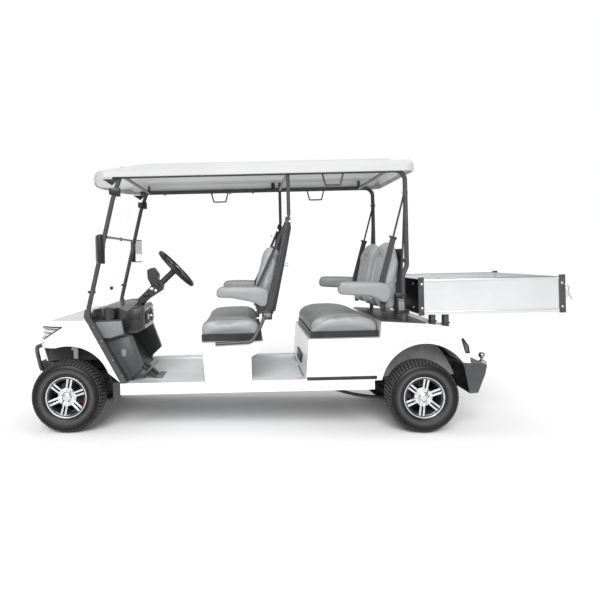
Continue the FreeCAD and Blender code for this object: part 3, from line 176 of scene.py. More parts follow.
class Finish:
    """A material with one Principled shader, built up by adding nodes."""

    def __init__(self, name, **shader):
        self.material = bpy.data.materials.new(name)
        self.material.use_nodes = True
        self.tree = self.material.node_tree
        self.shader = self.tree.nodes["Principled BSDF"]
        for word, value in shader.items():
            socket = self.shader.inputs[word.replace("_", " ")]
            socket.default_value = (*value, 1) if isinstance(value, tuple) else value

    def add(self, kind, settings=None, inputs=None, out=0):
        """A node of any type: its settings first, then its sockets, then one output."""
        node = self.tree.nodes.new(kind)
        for word, value in (settings or {}).items():
            if word == "stops":
                ramp = node.color_ramp
                while len(ramp.elements) < len(value):
                    ramp.elements.new(0.5)
                for element, (place, colour) in zip(ramp.elements, value):
                    element.position = place
                    element.color = (*colour, 1)
            else:
                setattr(node, word, value)
        for socket, value in (inputs or {}).items():
            self.feed(node.inputs[socket], value)
        return Wire(self, node.outputs[out])

    def feed(self, socket, value):
        """Link a wire into a socket, or set the socket to a plain value."""
        if isinstance(value, Wire):
            self.tree.links.new(value.socket, socket)
        elif isinstance(value, tuple) and len(value) == 3 and socket.type == "RGBA":
            socket.default_value = (*value, 1)
        else:
            socket.default_value = value

    def where(self, scale=(1, 1, 1)):
        """The piece's own coordinates, scaled."""
        place = self.add("ShaderNodeTexCoord", out="Object")
        return self.add("ShaderNodeMapping", inputs={"Vector": place, "Scale": scale})

    def noise(self, scale, detail, rough=0.5, at=None):
        """Cloudy noise, with so many features to a metre."""
        return self.add("ShaderNodeTexNoise", inputs={
            "Vector": at or self.where(), "Scale": scale, "Detail": detail, "Roughness": rough})

    def bands(self, direction, scale):
        """Soft parallel bands, as on ribs, flutes and twill."""
        return self.add("ShaderNodeTexWave", {"wave_type": "BANDS", "bands_direction": direction},
                        {"Vector": self.where(), "Scale": scale, "Distortion": 0.0})

    def grain(self, scale):
        """Small cells, as on moulded plastic and vinyl."""
        return self.add("ShaderNodeTexVoronoi", inputs={"Vector": self.where(), "Scale": scale})

    def along(self, axis):
        """The distance along one axis of the piece's own coordinates."""
        return self.add("ShaderNodeSeparateXYZ", inputs={"Vector": self.where()}, out=axis)

    def size_of(self, wire):
        """A value without its sign."""
        return self.add("ShaderNodeMath", {"operation": "ABSOLUTE"}, {0: wire})

    def share(self, wire, none, full):
        """A value as a share from 0 to 1, between the place where it is none and where it is full."""
        return self.add("ShaderNodeMapRange", inputs={"Value": wire, "From Min": none, "From Max": full})

    def blend(self, share, first, second):
        """The first colour where the share is 0, the second where it is 1."""
        return self.add("ShaderNodeMix", {"data_type": "RGBA"}, {0: share, 6: first, 7: second}, out=2)

    def own(self, attribute):
        """A value that the piece's mesh carries at each of its points."""
        return self.add("ShaderNodeAttribute", {"attribute_name": attribute}, out="Fac")

    def ramp(self, wire, *stops):
        """Colours along a value, from stops of a place and a colour."""
        return self.add("ShaderNodeValToRGB", {"stops": stops}, {"Fac": wire})

    def clouds(self, scale, detail, dark, light, low=0.3, high=0.7):
        """Two near shades in soft clouds."""
        return self.ramp(self.noise(scale, detail), (low, dark), (high, light))

    def paint(self, **wires):
        """Feed the shader's own sockets."""
        for word, value in wires.items():
            self.feed(self.shader.inputs[word.replace("_", " ")], value)

    def bump(self, height, strength, distance):
        """Feed a height into the shader's normal, at a strength and a depth in metres."""
        inputs = {"Height": height, "Strength": strength, "Distance": distance}
        self.feed(self.shader.inputs["Normal"], self.add("ShaderNodeBump", inputs=inputs))


print("helpers ready")

# %% [markdown]
# Most of the cart has one of a dozen finishes. None of them is one flat colour: moulded plastic has
# a faint ripple, powder-coated steel an orange-peel skin, rubber a dusty tone with a painted sheen,
# vinyl a grain.

# %% Finishes
def gel_coat():
    """The body's white: glossy, with a faint ripple."""
    f = Finish("body_white", Roughness=0.22, Coat_Weight=0.35, Coat_Roughness=0.06)
    f.paint(Base_Color=f.clouds(3, 3, (0.70, 0.705, 0.705), (0.74, 0.74, 0.735)),
            Roughness=f.noise(40, 2) * 0.08 + 0.18)
    f.bump(f.noise(18, 2), 0.05, 0.002)
    return f.material


def roof_skin(name, dark, light):
    """Vacuum-formed sheet with a matt grain."""
    f = Finish(name, Roughness=0.4)
    f.paint(Base_Color=f.clouds(2.5, 3, dark, light), Roughness=f.noise(60, 2) * 0.12 + 0.34)
    f.bump(f.noise(900, 2), 0.12, 0.0006)
    return f.material


def powder_coat(name, dark, light, rough):
    """Paint baked on steel, with its orange-peel skin."""
    f = Finish(name, Roughness=rough)
    f.paint(Base_Color=f.clouds(14, 4, dark, light, 0.35, 0.65),
            Roughness=f.noise(120, 2) * 0.15 + (rough - 0.07))
    f.bump(f.noise(700, 2), 0.25, 0.0004)
    return f.material


def moulded(name, dark, light, rough, coat=0.0):
    """Moulded plastic or rubber, with a fine leather grain."""
    f = Finish(name, Roughness=rough, Specular_IOR_Level=0.4, Coat_Weight=coat, Coat_Roughness=0.12)
    f.paint(Base_Color=f.clouds(9, 3, dark, light, 0.35, 0.65),
            Roughness=f.noise(30, 2) * 0.15 + (rough - 0.07))
    f.bump(f.grain(900), 0.2, 0.0004)
    return f.material


WHITE = gel_coat()
ROOF = roof_skin("roof_white", (0.45, 0.452, 0.455), (0.49, 0.492, 0.493))
# The roof's underside is painted much paler than its top: painted light for its shade.
ROOF_UNDERSIDE_LIGHT = roof_skin("roof_lining_painted_light", (0.84, 0.843, 0.846), (0.88, 0.882, 0.882))
TUBE = powder_coat("tube_black", (0.034, 0.034, 0.036), (0.052, 0.052, 0.055), 0.34)
STEEL = powder_coat("axle_black", (0.014, 0.014, 0.015), (0.034, 0.033, 0.032), 0.45)
PLASTIC = moulded("black_plastic", (0.011, 0.011, 0.012), (0.021, 0.021, 0.023), 0.42)
LINER = moulded("liner_plastic", (0.055, 0.055, 0.058), (0.090, 0.090, 0.093), 0.5)
print("finishes:", [m.name for m in bpy.data.materials])

# %% [markdown]
# New pieces start as a bmesh, drawn in millimetres on one of the two datums. One helper scales and
# places it, points its faces outwards, keeps creases crisp and lets it ride on a body of the cart.
# Three simple forms make up nearly everything: a profile spun to a ring, a bar and a cut plate.

# %% Piece helpers
SCALE = Matrix.Scale(MM, 4)


def finish_piece(name, bm, finish, body="chassis", place=BODY, crease=35, stands_for=()):
    """A bmesh in millimetres becomes a finished piece of the cart."""
    bmesh.ops.transform(bm, matrix=place @ SCALE, verts=bm.verts)
    bmesh.ops.recalc_face_normals(bm, faces=bm.faces)
    for face in bm.faces:
        face.smooth = True
    for edge in bm.edges:
        edge.smooth = len(edge.link_faces) != 2 or edge.calc_face_angle() < math.radians(crease)
    mesh = bpy.data.meshes.new(name)
    bm.to_mesh(mesh)
    bm.free()
    for one in finish if isinstance(finish, (list, tuple)) else (finish,):
        mesh.materials.append(one)
    piece = bpy.data.objects.new(name, mesh)
    bpy.context.collection.objects.link(piece)
    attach(piece, body)
    if stands_for:
        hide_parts(*stands_for)
    return piece


def profile_edge(bm, points, close=False):
    """A chain of edges through points of the X-Z plane."""
    verts = [bm.verts.new(p) for p in points]
    for first, second in zip(verts, verts[1:]):
        bm.edges.new((first, second))
    if close:
        bm.edges.new((verts[-1], verts[0]))
    return verts


def ring(bm, points, steps, close=True):
    """Spin a profile of (along, radius) points about the Y axis."""
    old = set(bm.verts)
    profile_edge(bm, [(r, y, 0) for y, r in points], close)
    fresh = [v for v in bm.verts if v not in old]
    edges = {e for v in fresh for e in v.link_edges}
    bmesh.ops.spin(bm, geom=fresh + list(edges), cent=(0, 0, 0), axis=(0, 1, 0),
                   angle=math.tau, steps=steps, use_merge=True)
    return [v for v in bm.verts if v not in old]


def rounded(bm, made, edge, segments):
    """The points of a form, after all its edges are rounded."""
    if edge:
        edges = list({e for v in made for e in v.link_edges})
        made = bmesh.ops.bevel(bm, geom=edges, offset=edge, segments=segments, profile=0.5,
                               affect="EDGES", material=-1)["verts"]
    return list({v for v in made if v.is_valid})


def bar(bm, size, at=(0, 0, 0), turn=None, edge=0.0, segments=2):
    """A box of a size about a point, with its edges rounded and then turned."""
    made = bmesh.ops.create_cube(bm, size=1.0)["verts"]
    bmesh.ops.scale(bm, vec=size, verts=made)
    made = rounded(bm, made, edge, segments)
    if turn:
        bmesh.ops.rotate(bm, cent=(0, 0, 0), matrix=turn, verts=made)
    bmesh.ops.translate(bm, vec=at, verts=made)
    return made


def plate(bm, outline, low, high, edge=0.0, segments=2):
    """A side outline of (x, z) points, as thick as from y low to y high, with rounded edges."""
    face = bm.faces.new([bm.verts.new((x, low, z)) for x, z in outline])
    made = bmesh.ops.extrude_face_region(bm, geom=[face])["geom"]
    far = [v for v in made if isinstance(v, bmesh.types.BMVert)]
    bmesh.ops.translate(bm, vec=(0, high - low, 0), verts=far)
    return rounded(bm, [*face.verts, *far], edge, segments)


print("piece helpers ready")

# %% [markdown]
# The tyres are road tyres with a blocky shoulder. A real one is a ring of one section, so a profile
# spun round the axle makes it. The tread is then raised the way a mould does it: every face of the
# crown is one block, inset and lifted, and the blocks further out lag the middle ones a little.
# The faces are pointed outwards first, because a block is lifted along its own normal. Each point
# carries how pale it is. The block tops are paler with dust and painted light, and a band round the
# sidewall is a painted sheen.

# %% Tyre and rim finishes
def tyre_rubber():
    """Black rubber, greyer where the piece's own attribute says so: dust and painted light on the tread, a
    painted sheen on the sidewall.
    """
    f = Finish("tyre_rubber", Roughness=0.5, Specular_IOR_Level=0.28)
    dust = f.noise(35, 4, 0.6)
    shade = f.ramp(dust * 0.25 + f.own("bloom") * 0.75, (0.12, (0.0025, 0.0025, 0.003)),
                   (0.72, (0.052, 0.052, 0.054)), (0.95, (0.120, 0.120, 0.122)))
    f.paint(Base_Color=shade, Roughness=f.noise(90, 2) * 0.2 + 0.34)
    f.bump(f.noise(500, 2), 0.25, 0.0004)
    return f.material


def machined_alloy():
    """Bare alloy off the lathe, with the fine lines that the tool leaves."""
    f = Finish("alloy_machined", Metallic=1.0, Roughness=0.25)
    lines = f.noise(400, 2, at=f.where((1, 0.02, 1)))
    f.paint(Base_Color=f.clouds(12, 2, (0.62, 0.63, 0.65), (0.78, 0.79, 0.80)), Roughness=lines * 0.15 + 0.16)
    f.bump(lines, 0.08, 0.0003)
    return f.material


def gloss_black():
    """The lacquer in the rims' pockets."""
    f = Finish("alloy_black", Roughness=0.25, Coat_Weight=0.4)
    f.paint(Base_Color=f.clouds(20, 3, (0.012, 0.012, 0.013), (0.03, 0.03, 0.032)),
            Roughness=f.noise(60, 2) * 0.15 + 0.2)
    return f.material


TYRE = tyre_rubber()
# The walls of the tread grooves are painted darker than the blocks: painted shade.
GROOVE_SHADE = moulded("tyre_groove_shade", (0.0015, 0.0015, 0.0016), (0.004, 0.004, 0.0042), 0.7)
ALLOY = machined_alloy()
POCKET = gloss_black()

# %% Tyres
# Half a section, as (along the axle, radius) points: the tread, and then the sidewall to the bead.
CROWN = [(0, 243), (16, 242.8), (42, 242), (66, 240), (86, 235), (96, 220)]
WALL = [(100, 211), (102.4, 205), (101, 201), (102.6, 190), (101.8, 177), (102.6, 173.5), (99, 161),
        (95.6, 153), (96.4, 149.5), (94.6, 146), (90.6, 144.5), (88, 141), (85, 136), (84.5, 129)]
BLOCKS, BLOCK_HIGH, GROOVE_HALF = 60, 5.0, 3.6
# Beyond one radius the tread is painted paler. Part of that is dust and part is painted light.
TREAD_FROM, TREAD_DUST_AND_LIGHT_FROM, LAG_FROM = 226, 228, 214
SHOULDER, SHOULDER_LAG = 88, 3.4
# A band of painted sheen round the sidewall: how strong it is, at what radius, and how wide.
WALL_SHEEN, WALL_SHEEN_AT, WALL_SHEEN_WIDE = 0.85, 178, 14


def from_axle(point):
    return math.hypot(point.x, point.z)


def tyre_mesh():
    bm = bmesh.new()
    half = CROWN + WALL
    ring(bm, half + [(-y, r) for y, r in reversed(half[1:])], BLOCKS)
    bmesh.ops.recalc_face_normals(bm, faces=bm.faces)
    blocks = [f for f in bm.faces if from_axle(f.calc_center_median()) > TREAD_FROM]
    walls = bmesh.ops.inset_individual(bm, faces=blocks, thickness=GROOVE_HALF, depth=BLOCK_HIGH,
                                       use_even_offset=True)
    # The groove walls take the second finish, whose darkness is painted shade.
    for face in walls["faces"]:
        face.material_index = 1
    # Each point's paleness: dust and painted light on the tread tops, a band of painted sheen on the
    # sidewall.
    bloom = bm.verts.layers.float.new("bloom")
    for vert in bm.verts:
        radius = from_axle(vert.co)
        wall = WALL_SHEEN * math.exp(-((radius - WALL_SHEEN_AT) / WALL_SHEEN_WIDE) ** 2)
        vert[bloom] = 1.0 if radius > TREAD_DUST_AND_LIGHT_FROM else wall
        if radius > LAG_FROM:
            vert.co = turned("Y", SHOULDER_LAG * abs(vert.co.y) / SHOULDER) @ vert.co
    return bm


CORNERS = {"front_left": (0, 1), "front_right": (0, -1),
           "rear_left": (-WHEELBASE, 1), "rear_right": (-WHEELBASE, -1)}
WHEEL_PLANE = 497 * MM


def corner_place(corner):
    """A wheel's own frame: its axle along Y, with the outer face away from the cart."""
    along, side = CORNERS[corner]
    return (GROUND @ Matrix.Translation((along, side * WHEEL_PLANE, AXLE_HIGH))
            @ turned("Z", 0 if side > 0 else 180, 4))


for corner in CORNERS:
    tyre = finish_piece("tread_" + corner, tyre_mesh(), (TYRE, GROOVE_SHADE), "wheel_" + corner,
                        corner_place(corner), 30, ["tyre_" + corner])
print("tyre faces:", len(tyre.data.polygons))

# %% [markdown]
# Each rim is a cast wheel: a barrel with two flanges, a hub, and six pairs of slim spokes whose
# faces were skimmed bright on a lathe while the pockets stayed black. The barrel is a spun profile,
# and so is what shuts its back; a spoke is one bevelled bar, copied round the hub.

# %% Rims
SPOKES = 6
SPOKE_PHASE = {"front": 40, "rear": 38}
FACE_AT = 72
SPOKE_BEND_FROM, SPOKE_BEND, SPOKE_SPREAD = 60, 0.14, 0.0022
NUTS, NUT_CIRCLE = 4, 50.8


def rim_barrel(front):
    """The barrel, and what shuts its back: a brake disc with a shield in front, a drum behind."""
    bm = bmesh.new()
    ring(bm, [(-95, 140), (-95, 128), (-90, 121), (-50, 113), (60, 113), (84, 121), (88, 131),
              (90.5, 134), (94.5, 136.5), (95, 140), (91, 141), (89.3, 140), (89.3, 127.5), (70, 119),
              (-60, 118), (-89.3, 127.5), (-89.3, 140)], 72)
    if front:
        ring(bm, [(-58, 26), (-58, 92), (-50, 92), (-50, 34), (20, 34), (20, 26)], 72)
        ring(bm, [(-88, 97), (-88, 126), (-82, 119), (-81, 97)], 72)
    else:
        ring(bm, [(-88, 26), (-88, 126), (-82, 118), (-80, 40), (-46, 36), (-46, 26)], 72)
    return bm


def rim_face(phase):
    """Twin spokes, their bridges at the hub and the hub itself."""
    bm = bmesh.new()
    for k in range(SPOKES):
        made = []
        for side in (1, -1):
            made += bar(bm, (98, 26, 13), (88, FACE_AT - 6, side * 11.6), edge=1.6)
        made += bar(bm, (30, 24, 34), (48, FACE_AT - 5, 0), edge=3)
        made += bar(bm, (10, 22, 44), (131, FACE_AT - 4, 0), edge=2)
        made = [v for v in set(made) if v.is_valid]
        for vert in made:
            beyond = max(vert.co.x - SPOKE_BEND_FROM, 0)
            vert.co.y += beyond * SPOKE_BEND
            vert.co.z *= 1 + beyond * SPOKE_SPREAD
        bmesh.ops.rotate(bm, cent=(0, 0, 0), matrix=turned("Y", -phase - k * 360 / SPOKES), verts=made)
    ring(bm, [(FACE_AT - 26, 0.5), (FACE_AT - 26, 66), (FACE_AT - 3, 64), (FACE_AT, 60),
              (FACE_AT + 1, 34), (FACE_AT + 3, 31), (FACE_AT + 11, 29), (FACE_AT + 14, 25),
              (FACE_AT + 14.5, 0.5)], 48, False)
    bmesh.ops.holes_fill(bm, edges=[e for e in bm.edges if e.is_boundary])
    ring(bm, [(84, 128), (90, 132.5), (95.6, 135.5), (96.6, 138.5), (95.8, 141.5), (90.5, 142.5),
              (86, 136)], 96)
    return bm


def wheel_nuts(wells=False):
    """Four hex nuts on their circle, or the dark wells that they sit in and the cap's dark ring."""
    bm = bmesh.new()
    sides, base, top, deep = (32, 14, 14, 2.4) if wells else (6, 8.5, 8, 14)
    for k in range(NUTS):
        angle = math.radians(45 + k * 360 / NUTS)
        spot = (NUT_CIRCLE * math.cos(angle), FACE_AT + 2, NUT_CIRCLE * math.sin(angle))
        bmesh.ops.create_cone(bm, cap_ends=True, segments=sides, radius1=base, radius2=top, depth=deep,
                              matrix=Matrix.Translation(spot) @ turned("X", 90, 4))
    if wells:
        ring(bm, [(FACE_AT + 0.4, 31), (FACE_AT + 0.4, 35), (FACE_AT + 2, 35), (FACE_AT + 2, 31)], 48)
    return bm


for corner in CORNERS:
    end = corner.split("_")[0]
    wheel, place = "wheel_" + corner, corner_place(corner)
    finish_piece("barrel_" + corner, rim_barrel(end == "front"), POCKET, wheel, place, 40,
                 ["rim_" + corner])
    finish_piece("spokes_" + corner, rim_face(SPOKE_PHASE[end]), ALLOY, wheel, place, 40)
    finish_piece("nuts_" + corner, wheel_nuts(), ALLOY, wheel, place, 30)
    finish_piece("nut_wells_" + corner, wheel_nuts(wells=True), POCKET, wheel, place, 30)
print("rims done")

# %% [markdown]
# The seats are foam under vinyl: a grey top that wraps over the front, a lighter panel sewn along
# each side, and stitched flutes where people sit. Foam under a tight cover bulges between its
# seams. A block could be bevelled to look like that, but letting the cover swell under pressure
# gives the slack and the pulled-in corners by itself, so each pad is a slightly small form that
# the cloth solver inflates. The seams are pressed in afterwards, because a remesh would erase them.

# %% Seat vinyl
def vinyl(name, main, side):
    """Grained vinyl in two shades, which meet at a seam given by the piece's own attribute."""
    f = Finish(name, Roughness=0.42)
    zone = f.own("zone")
    cloud = f.noise(11, 3)
    top = f.ramp(cloud, (0.3, tuple(c * 0.94 for c in main)), (0.7, main))
    flank = f.ramp(cloud, (0.3, tuple(c * 0.95 for c in side)), (0.7, side))
    cover = f.blend(f.share(zone, -0.6, 0.6), top, flank)
    off_seam = f.share(f.size_of(zone), 0.8, 2.2)
    f.paint(Base_Color=f.blend(off_seam, tuple(c * 0.55 for c in main), cover),
            Roughness=f.noise(140, 3) * 0.16 + 0.34)
    f.bump(f.grain(520), 0.22, 0.0005)
    return f.material


SEAT_TOP = vinyl("seat_grey", (0.225, 0.228, 0.230), (0.285, 0.288, 0.292))
# The backrests' face is painted lighter and their sides darker: painted light on the face, painted shade on
# the sides.
BACK_PAD = vinyl("back_grey_painted_light_and_shade", (0.440, 0.446, 0.452), (0.275, 0.279, 0.284))
ARM_PAD = vinyl("arm_grey", (0.242, 0.245, 0.248), (0.242, 0.245, 0.248))
print("vinyl finishes ready")

# %% [markdown]
# A pad goes through five steps. Its block is remeshed into even little faces, which cloth needs; the
# cloth solver blows it up for twenty frames; what moved too far is drawn back to a cap, and it is
# smoothed; then it is held off what it rests on and its seams are pressed in. Each point also gets
# its zone, its distance from the seam between the two shades of vinyl, which the finish reads.

# %% Pad helpers
CLOTH_FRAMES = 20


def side_form(points, low, high, edge, segments=3):
    """A block of a side outline, as wide as from y low to y high."""
    bm = bmesh.new()
    plate(bm, points, low, high, edge, segments)
    return bm


def baked(piece):
    """The piece's mesh as its modifiers leave it, put back on the piece."""
    mesh = bpy.data.meshes.new_from_object(piece.evaluated_get(bpy.context.evaluated_depsgraph_get()))
    piece.modifiers.clear()
    piece.data = mesh
    return mesh


def remeshed(piece, voxel):
    """The piece rebuilt from even faces of about a voxel's size."""
    change = piece.modifiers.new("remesh", "REMESH")
    change.mode = "VOXEL"
    change.voxel_size = voxel * MM
    change.use_smooth_shade = True
    return baked(piece)


def swell(piece, pressure, cap):
    """Inflate a closed piece with the cloth solver, by no more than a cap."""
    rest = [v.co.copy() for v in piece.data.vertices]
    cloth = piece.modifiers.new("cloth", "CLOTH")
    cloth.settings.use_pressure = True
    cloth.settings.uniform_pressure_force = pressure
    cloth.settings.effector_weights.gravity = 0
    cloth.settings.tension_stiffness = cloth.settings.compression_stiffness = 40
    cloth.settings.bending_stiffness = 12
    cloth.settings.quality = 4
    cloth.point_cache.frame_start, cloth.point_cache.frame_end = 1, CLOTH_FRAMES
    for step in range(1, CLOTH_FRAMES + 1):
        scene.frame_set(step)
    mesh = baked(piece)
    scene.frame_set(1)
    for vert, start in zip(mesh.vertices, rest):
        move = vert.co - start
        if move.length > cap * MM:
            vert.co = start + move * (cap * MM / move.length)


def softened(piece, rounds):
    """The piece with its small bumps evened out."""
    change = piece.modifiers.new("soften", "SMOOTH")
    change.iterations, change.factor = rounds, 0.5
    baked(piece)


def pad(name, bm, finish, stands_for, cap, pressure=4.0, hold=None, seam=None, zone=None,
        mirror=False, after=10, body="chassis", voxel=6):
    """A cushion: remeshed, inflated, held by what it rests on, and then sewn."""
    piece = finish_piece(name, bm, finish, body, stands_for=stands_for)
    remeshed(piece, voxel)
    softened(piece, 6)
    swell(piece, pressure, cap)
    softened(piece, after)
    mesh = piece.data
    back = BODY @ SCALE
    level = back.inverted()
    spots = [level @ v.co for v in mesh.vertices]
    turns = [BODY.to_3x3().inverted() @ v.normal for v in mesh.vertices]
    zones = []
    for vert, spot, turn in zip(mesh.vertices, spots, turns):
        if hold:
            spot = hold(spot)
        if seam:
            spot = spot - turn * seam(spot, turn)
        vert.co = back @ spot
        zones.append(zone(spot, turn) if zone else -5.0)
    mesh.attributes.new("zone", "FLOAT", "POINT").data.foreach_set("value", zones)
    for face in mesh.polygons:
        face.use_smooth = True
    softened(piece, 1)
    if mirror:
        other = piece.copy()
        other.data = piece.data.copy()
        other.name = name.replace("left", "right")
        other.data.transform(Matrix.Scale(-1, 4, (0, 1, 0)))
        other.data.flip_normals()
        bpy.context.collection.objects.link(other)
        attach(other, body)
        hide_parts(*stands_for)


def groove(distance, deep, wide):
    """How far a seam pulls the cover in at a distance from it."""
    return deep * math.exp(-(distance / wide) ** 2)


print("pad helpers ready")

# %% [markdown]
# Each bench has one wide cushion for two people. The side panel's top seam is an arch, highest
# over the middle of the seat. On the top, five flutes run from front to back for each person,
# inside a sewn border that leaves a plain roll along the front and a bolster at each side.

# %% Seat cushions
SEAT_HALF = 526
SEAT_MID = 265
FLUTE_WIDE, LAST_FLUTE, BORDER = 55, 138, 165
FRONT_ROLL, REAR_ROLL = 88, 30
PAD_SWELL = 11


def held(value, low=0.0, high=1.0):
    return max(low, min(high, value))


def cushion_seams(front, rear):
    """The crease between the two seats, and each seat's flutes and border."""
    def press(spot, turn):
        if turn.z < 0.3:
            return 0.0
        across = abs(abs(spot.y) - SEAT_MID)
        along = min(front - FRONT_ROLL - spot.x, spot.x - rear - REAR_ROLL)
        deep = groove(abs(spot.y), 9, 9)
        if across < BORDER + 21:
            to_flute = (across + FLUTE_WIDE / 2) % FLUTE_WIDE - FLUTE_WIDE / 2
            flute = to_flute if across < LAST_FLUTE else across - BORDER
            deep += held(along / 26) * groove(flute, 6.5, 9)
        if across < BORDER:
            deep += groove(along, 7, 9)
        return deep
    return press


def side_panel(front, rear, low, peak, reach):
    """Above zero on the lighter side panel, by millimetres from its arched seam."""
    def zone(spot, turn):
        if abs(spot.y) < SEAT_HALF - 75:
            return -20.0
        run = held((front - 8 - spot.x) / (front - 8 - rear))
        rise = 1 - (1 - min(run / reach, 1)) ** 2.4
        fall = max(0, run - 0.7) / 0.3
        high = low + (peak - low) * rise - 22 * fall
        return min(high - spot.z, abs(spot.y) - (SEAT_HALF - 40))
    return zone


def cushion(name, outline, front, rear, rest, low, peak, reach):
    """A bench's cushion, from its side outline and where its side panel's seam runs."""
    bm = side_form(outline, -SEAT_HALF + PAD_SWELL, SEAT_HALF - PAD_SWELL, 22)
    pad(name, bm, SEAT_TOP, ["cushions"], PAD_SWELL, hold=lambda p: Vector((p.x, p.y, max(p.z, rest))),
        seam=cushion_seams(front, rear), zone=side_panel(front, rear, low, peak, reach), after=20)


cushion("front_cushion", [(-935, 622), (-934, 706), (-952, 736), (-1000, 750), (-1100, 757), (-1220, 758),
                          (-1300, 748), (-1332, 718), (-1336, 622)],
        front=-924, rear=-1345, rest=650, low=712, peak=748, reach=0.3)
cushion("rear_cushion", [(-1695, 622), (-1693, 696), (-1712, 732), (-1765, 756), (-1850, 766),
                         (-1960, 766), (-2060, 752), (-2140, 722), (-2166, 690), (-2168, 622)],
        front=-1683, rear=-2178, rest=652, low=655, peak=752, reach=0.5)
print("cushions done")

# %% [markdown]
# The backrests stand two to a bench with their tops rounded like loaves. Into the face of each is
# sunk one arch, round a raised panel that a crease divides down its middle. Left and right are
# mirror images, so one is made and copied across.

# %% Backrests
BACK_LOW, BACK_HIGH, BACK_MID, BACK_HALF = 14, 518, 266, 260
ARCH_HALF, ARCH_SUNK, PANEL_IN = 112, 19, 24
LOAF_FROM, LOAF_DROP, LOAF_LEAN, LOAF_CUTS = 170, 84, 25, 9


def back_seams(low, arch_high):
    """A sunk arch about its centre's height, the raised panel in it and the seam under both."""
    def press(spot, turn):
        if turn.x < 0.25:
            return 0.0
        across, high = abs(spot.y - BACK_MID), spot.z - arch_high
        inside = ARCH_HALF - (math.hypot(across, high) if high > 0 else across)
        deep = ARCH_SUNK * held(inside / 12) + groove(inside, 5, 8)
        if inside > PANEL_IN and spot.z > low:
            deep -= 14 * held((inside - PANEL_IN) / 16)
            deep += groove(across, 7, 8)
        if across < ARCH_HALF:
            deep += groove(spot.z - low, 7, 9)
        return deep
    return press


def loaf(outline, top):
    """A back pad whose upper corners are also rounded when seen from the front."""
    bm = side_form(outline, BACK_LOW, BACK_HIGH, 24)
    wide = BACK_HIGH - BACK_LOW
    for step in range(LOAF_CUTS):
        bmesh.ops.bisect_plane(bm, geom=[*bm.verts, *bm.edges, *bm.faces], dist=0.01, plane_no=(0, 1, 0),
                               plane_co=(0, BACK_LOW + wide * (step + 0.5) / LOAF_CUTS, 0))
    for vert in bm.verts:
        off = abs(vert.co.y - BACK_MID) / (wide / 2)
        rise = max(vert.co.z - (top - LOAF_FROM), 0) / LOAF_FROM
        vert.co.z -= LOAF_DROP * rise * off ** 3
        vert.co.x += LOAF_LEAN * rise * off ** 3
    return bm


FRONT_BACK = [(-1312, 800), (-1324, 880), (-1354, 1010), (-1388, 1130), (-1414, 1240), (-1436, 1272),
              (-1472, 1274), (-1488, 1240), (-1478, 1150), (-1450, 980), (-1424, 800)]
REAR_BACK = [(-2184, 796), (-2196, 900), (-2216, 1010), (-2244, 1140), (-2266, 1250), (-2286, 1282),
             (-2312, 1284), (-2326, 1250), (-2324, 1150), (-2305, 980), (-2288, 796)]


def shell_line(top_x, low_x, top_z, low_z):
    """Keep a back pad in front of the sloping shell behind it."""
    def hold(spot):
        behind = low_x + (top_x - low_x) * (spot.z - low_z) / (top_z - low_z)
        return Vector((max(spot.x, behind), spot.y, max(spot.z, low_z)))
    return hold


def back_shaded_sides(spot, turn):
    """Above zero on the pad's two sides, which are painted darker than its face: painted shade on the sides,
    painted light on the face.
    """
    return min(abs(spot.y - BACK_MID) - BACK_HALF + 26, 20.0)


pad("front_back_left", loaf(FRONT_BACK, 1274), BACK_PAD, ["backrests"], PAD_SWELL, mirror=True,
    hold=shell_line(-1498, -1424, 1200, 785), seam=back_seams(872, 1085), zone=back_shaded_sides)
pad("rear_back_left", loaf(REAR_BACK, 1284), BACK_PAD, ["backrests"], PAD_SWELL, mirror=True,
    hold=shell_line(-2336, -2290, 1150, 780), seam=back_seams(880, 1090), zone=back_shaded_sides)
print("backrests done")

# %% [markdown]
# The armrests are fat lozenges of foam on a steel arm, pivoted at the backrest. They swell a
# little less, because their cover is stretched over a stiff core.

# %% Armrests
FRONT_ARM = [(-1048, 918), (-1048, 960), (-1074, 986), (-1165, 990), (-1335, 984), (-1394, 966), (-1408, 936),
             (-1395, 858), (-1380, 842), (-1346, 844), (-1296, 868), (-1151, 902), (-1076, 909)]
REAR_ARM = [(-1884, 930), (-1886, 972), (-1908, 1004), (-2060, 1002), (-2183, 994), (-2235, 976),
            (-2256, 932), (-2244, 884), (-2222, 854), (-2190, 854), (-2106, 888), (-1995, 902), (-1905, 914)]
for end, outline in (("front", FRONT_ARM), ("rear", REAR_ARM)):
    pad(f"{end}_arm_left", side_form(outline, 551, 599, 11), ARM_PAD, ["armrests"], 7, pressure=3.0,
        mirror=True, after=4)
print("armrests done")

# %% [markdown]
# Most of the rest keeps the solid model's own shapes: their outlines are already the real ones, so
# each only needs its finish. A finish is picked by what the real piece is made of, and its detail
# sits at the scale that material shows: brushing along the bed's panels, a fine rib on the floor
# mat, a woven twill on the belts, flutes in the lamps.

# %% Finishes for the solid pieces
def brushed_aluminium():
    """Mill-finished sheet, brushed along the cart."""
    f = Finish("bed_aluminium", Metallic=0.85, Roughness=0.3)
    brush = f.noise(260, 3, 0.6, f.where((0.05, 1, 1)))
    shade = f.noise(1.6, 3) * 0.85 + brush * 0.15
    f.paint(Base_Color=f.ramp(shade, (0.3, (0.66, 0.665, 0.675)), (0.7, (0.81, 0.815, 0.825))),
            Roughness=brush * 0.18 + 0.22)
    f.bump(brush, 0.06, 0.0003)
    return f.material


def floor_mat():
    """A pale ribbed mat, scuffed where feet go."""
    f = Finish("floor_rubber", Roughness=0.6)
    scuff = f.noise(6, 4, 0.6)
    f.paint(Base_Color=f.ramp(scuff, (0.3, (0.66, 0.675, 0.695)), (0.7, (0.76, 0.775, 0.795))),
            Roughness=scuff * 0.2 + 0.45)
    f.bump(f.bands("Y", 22), 0.15, 0.0008)
    return f.material


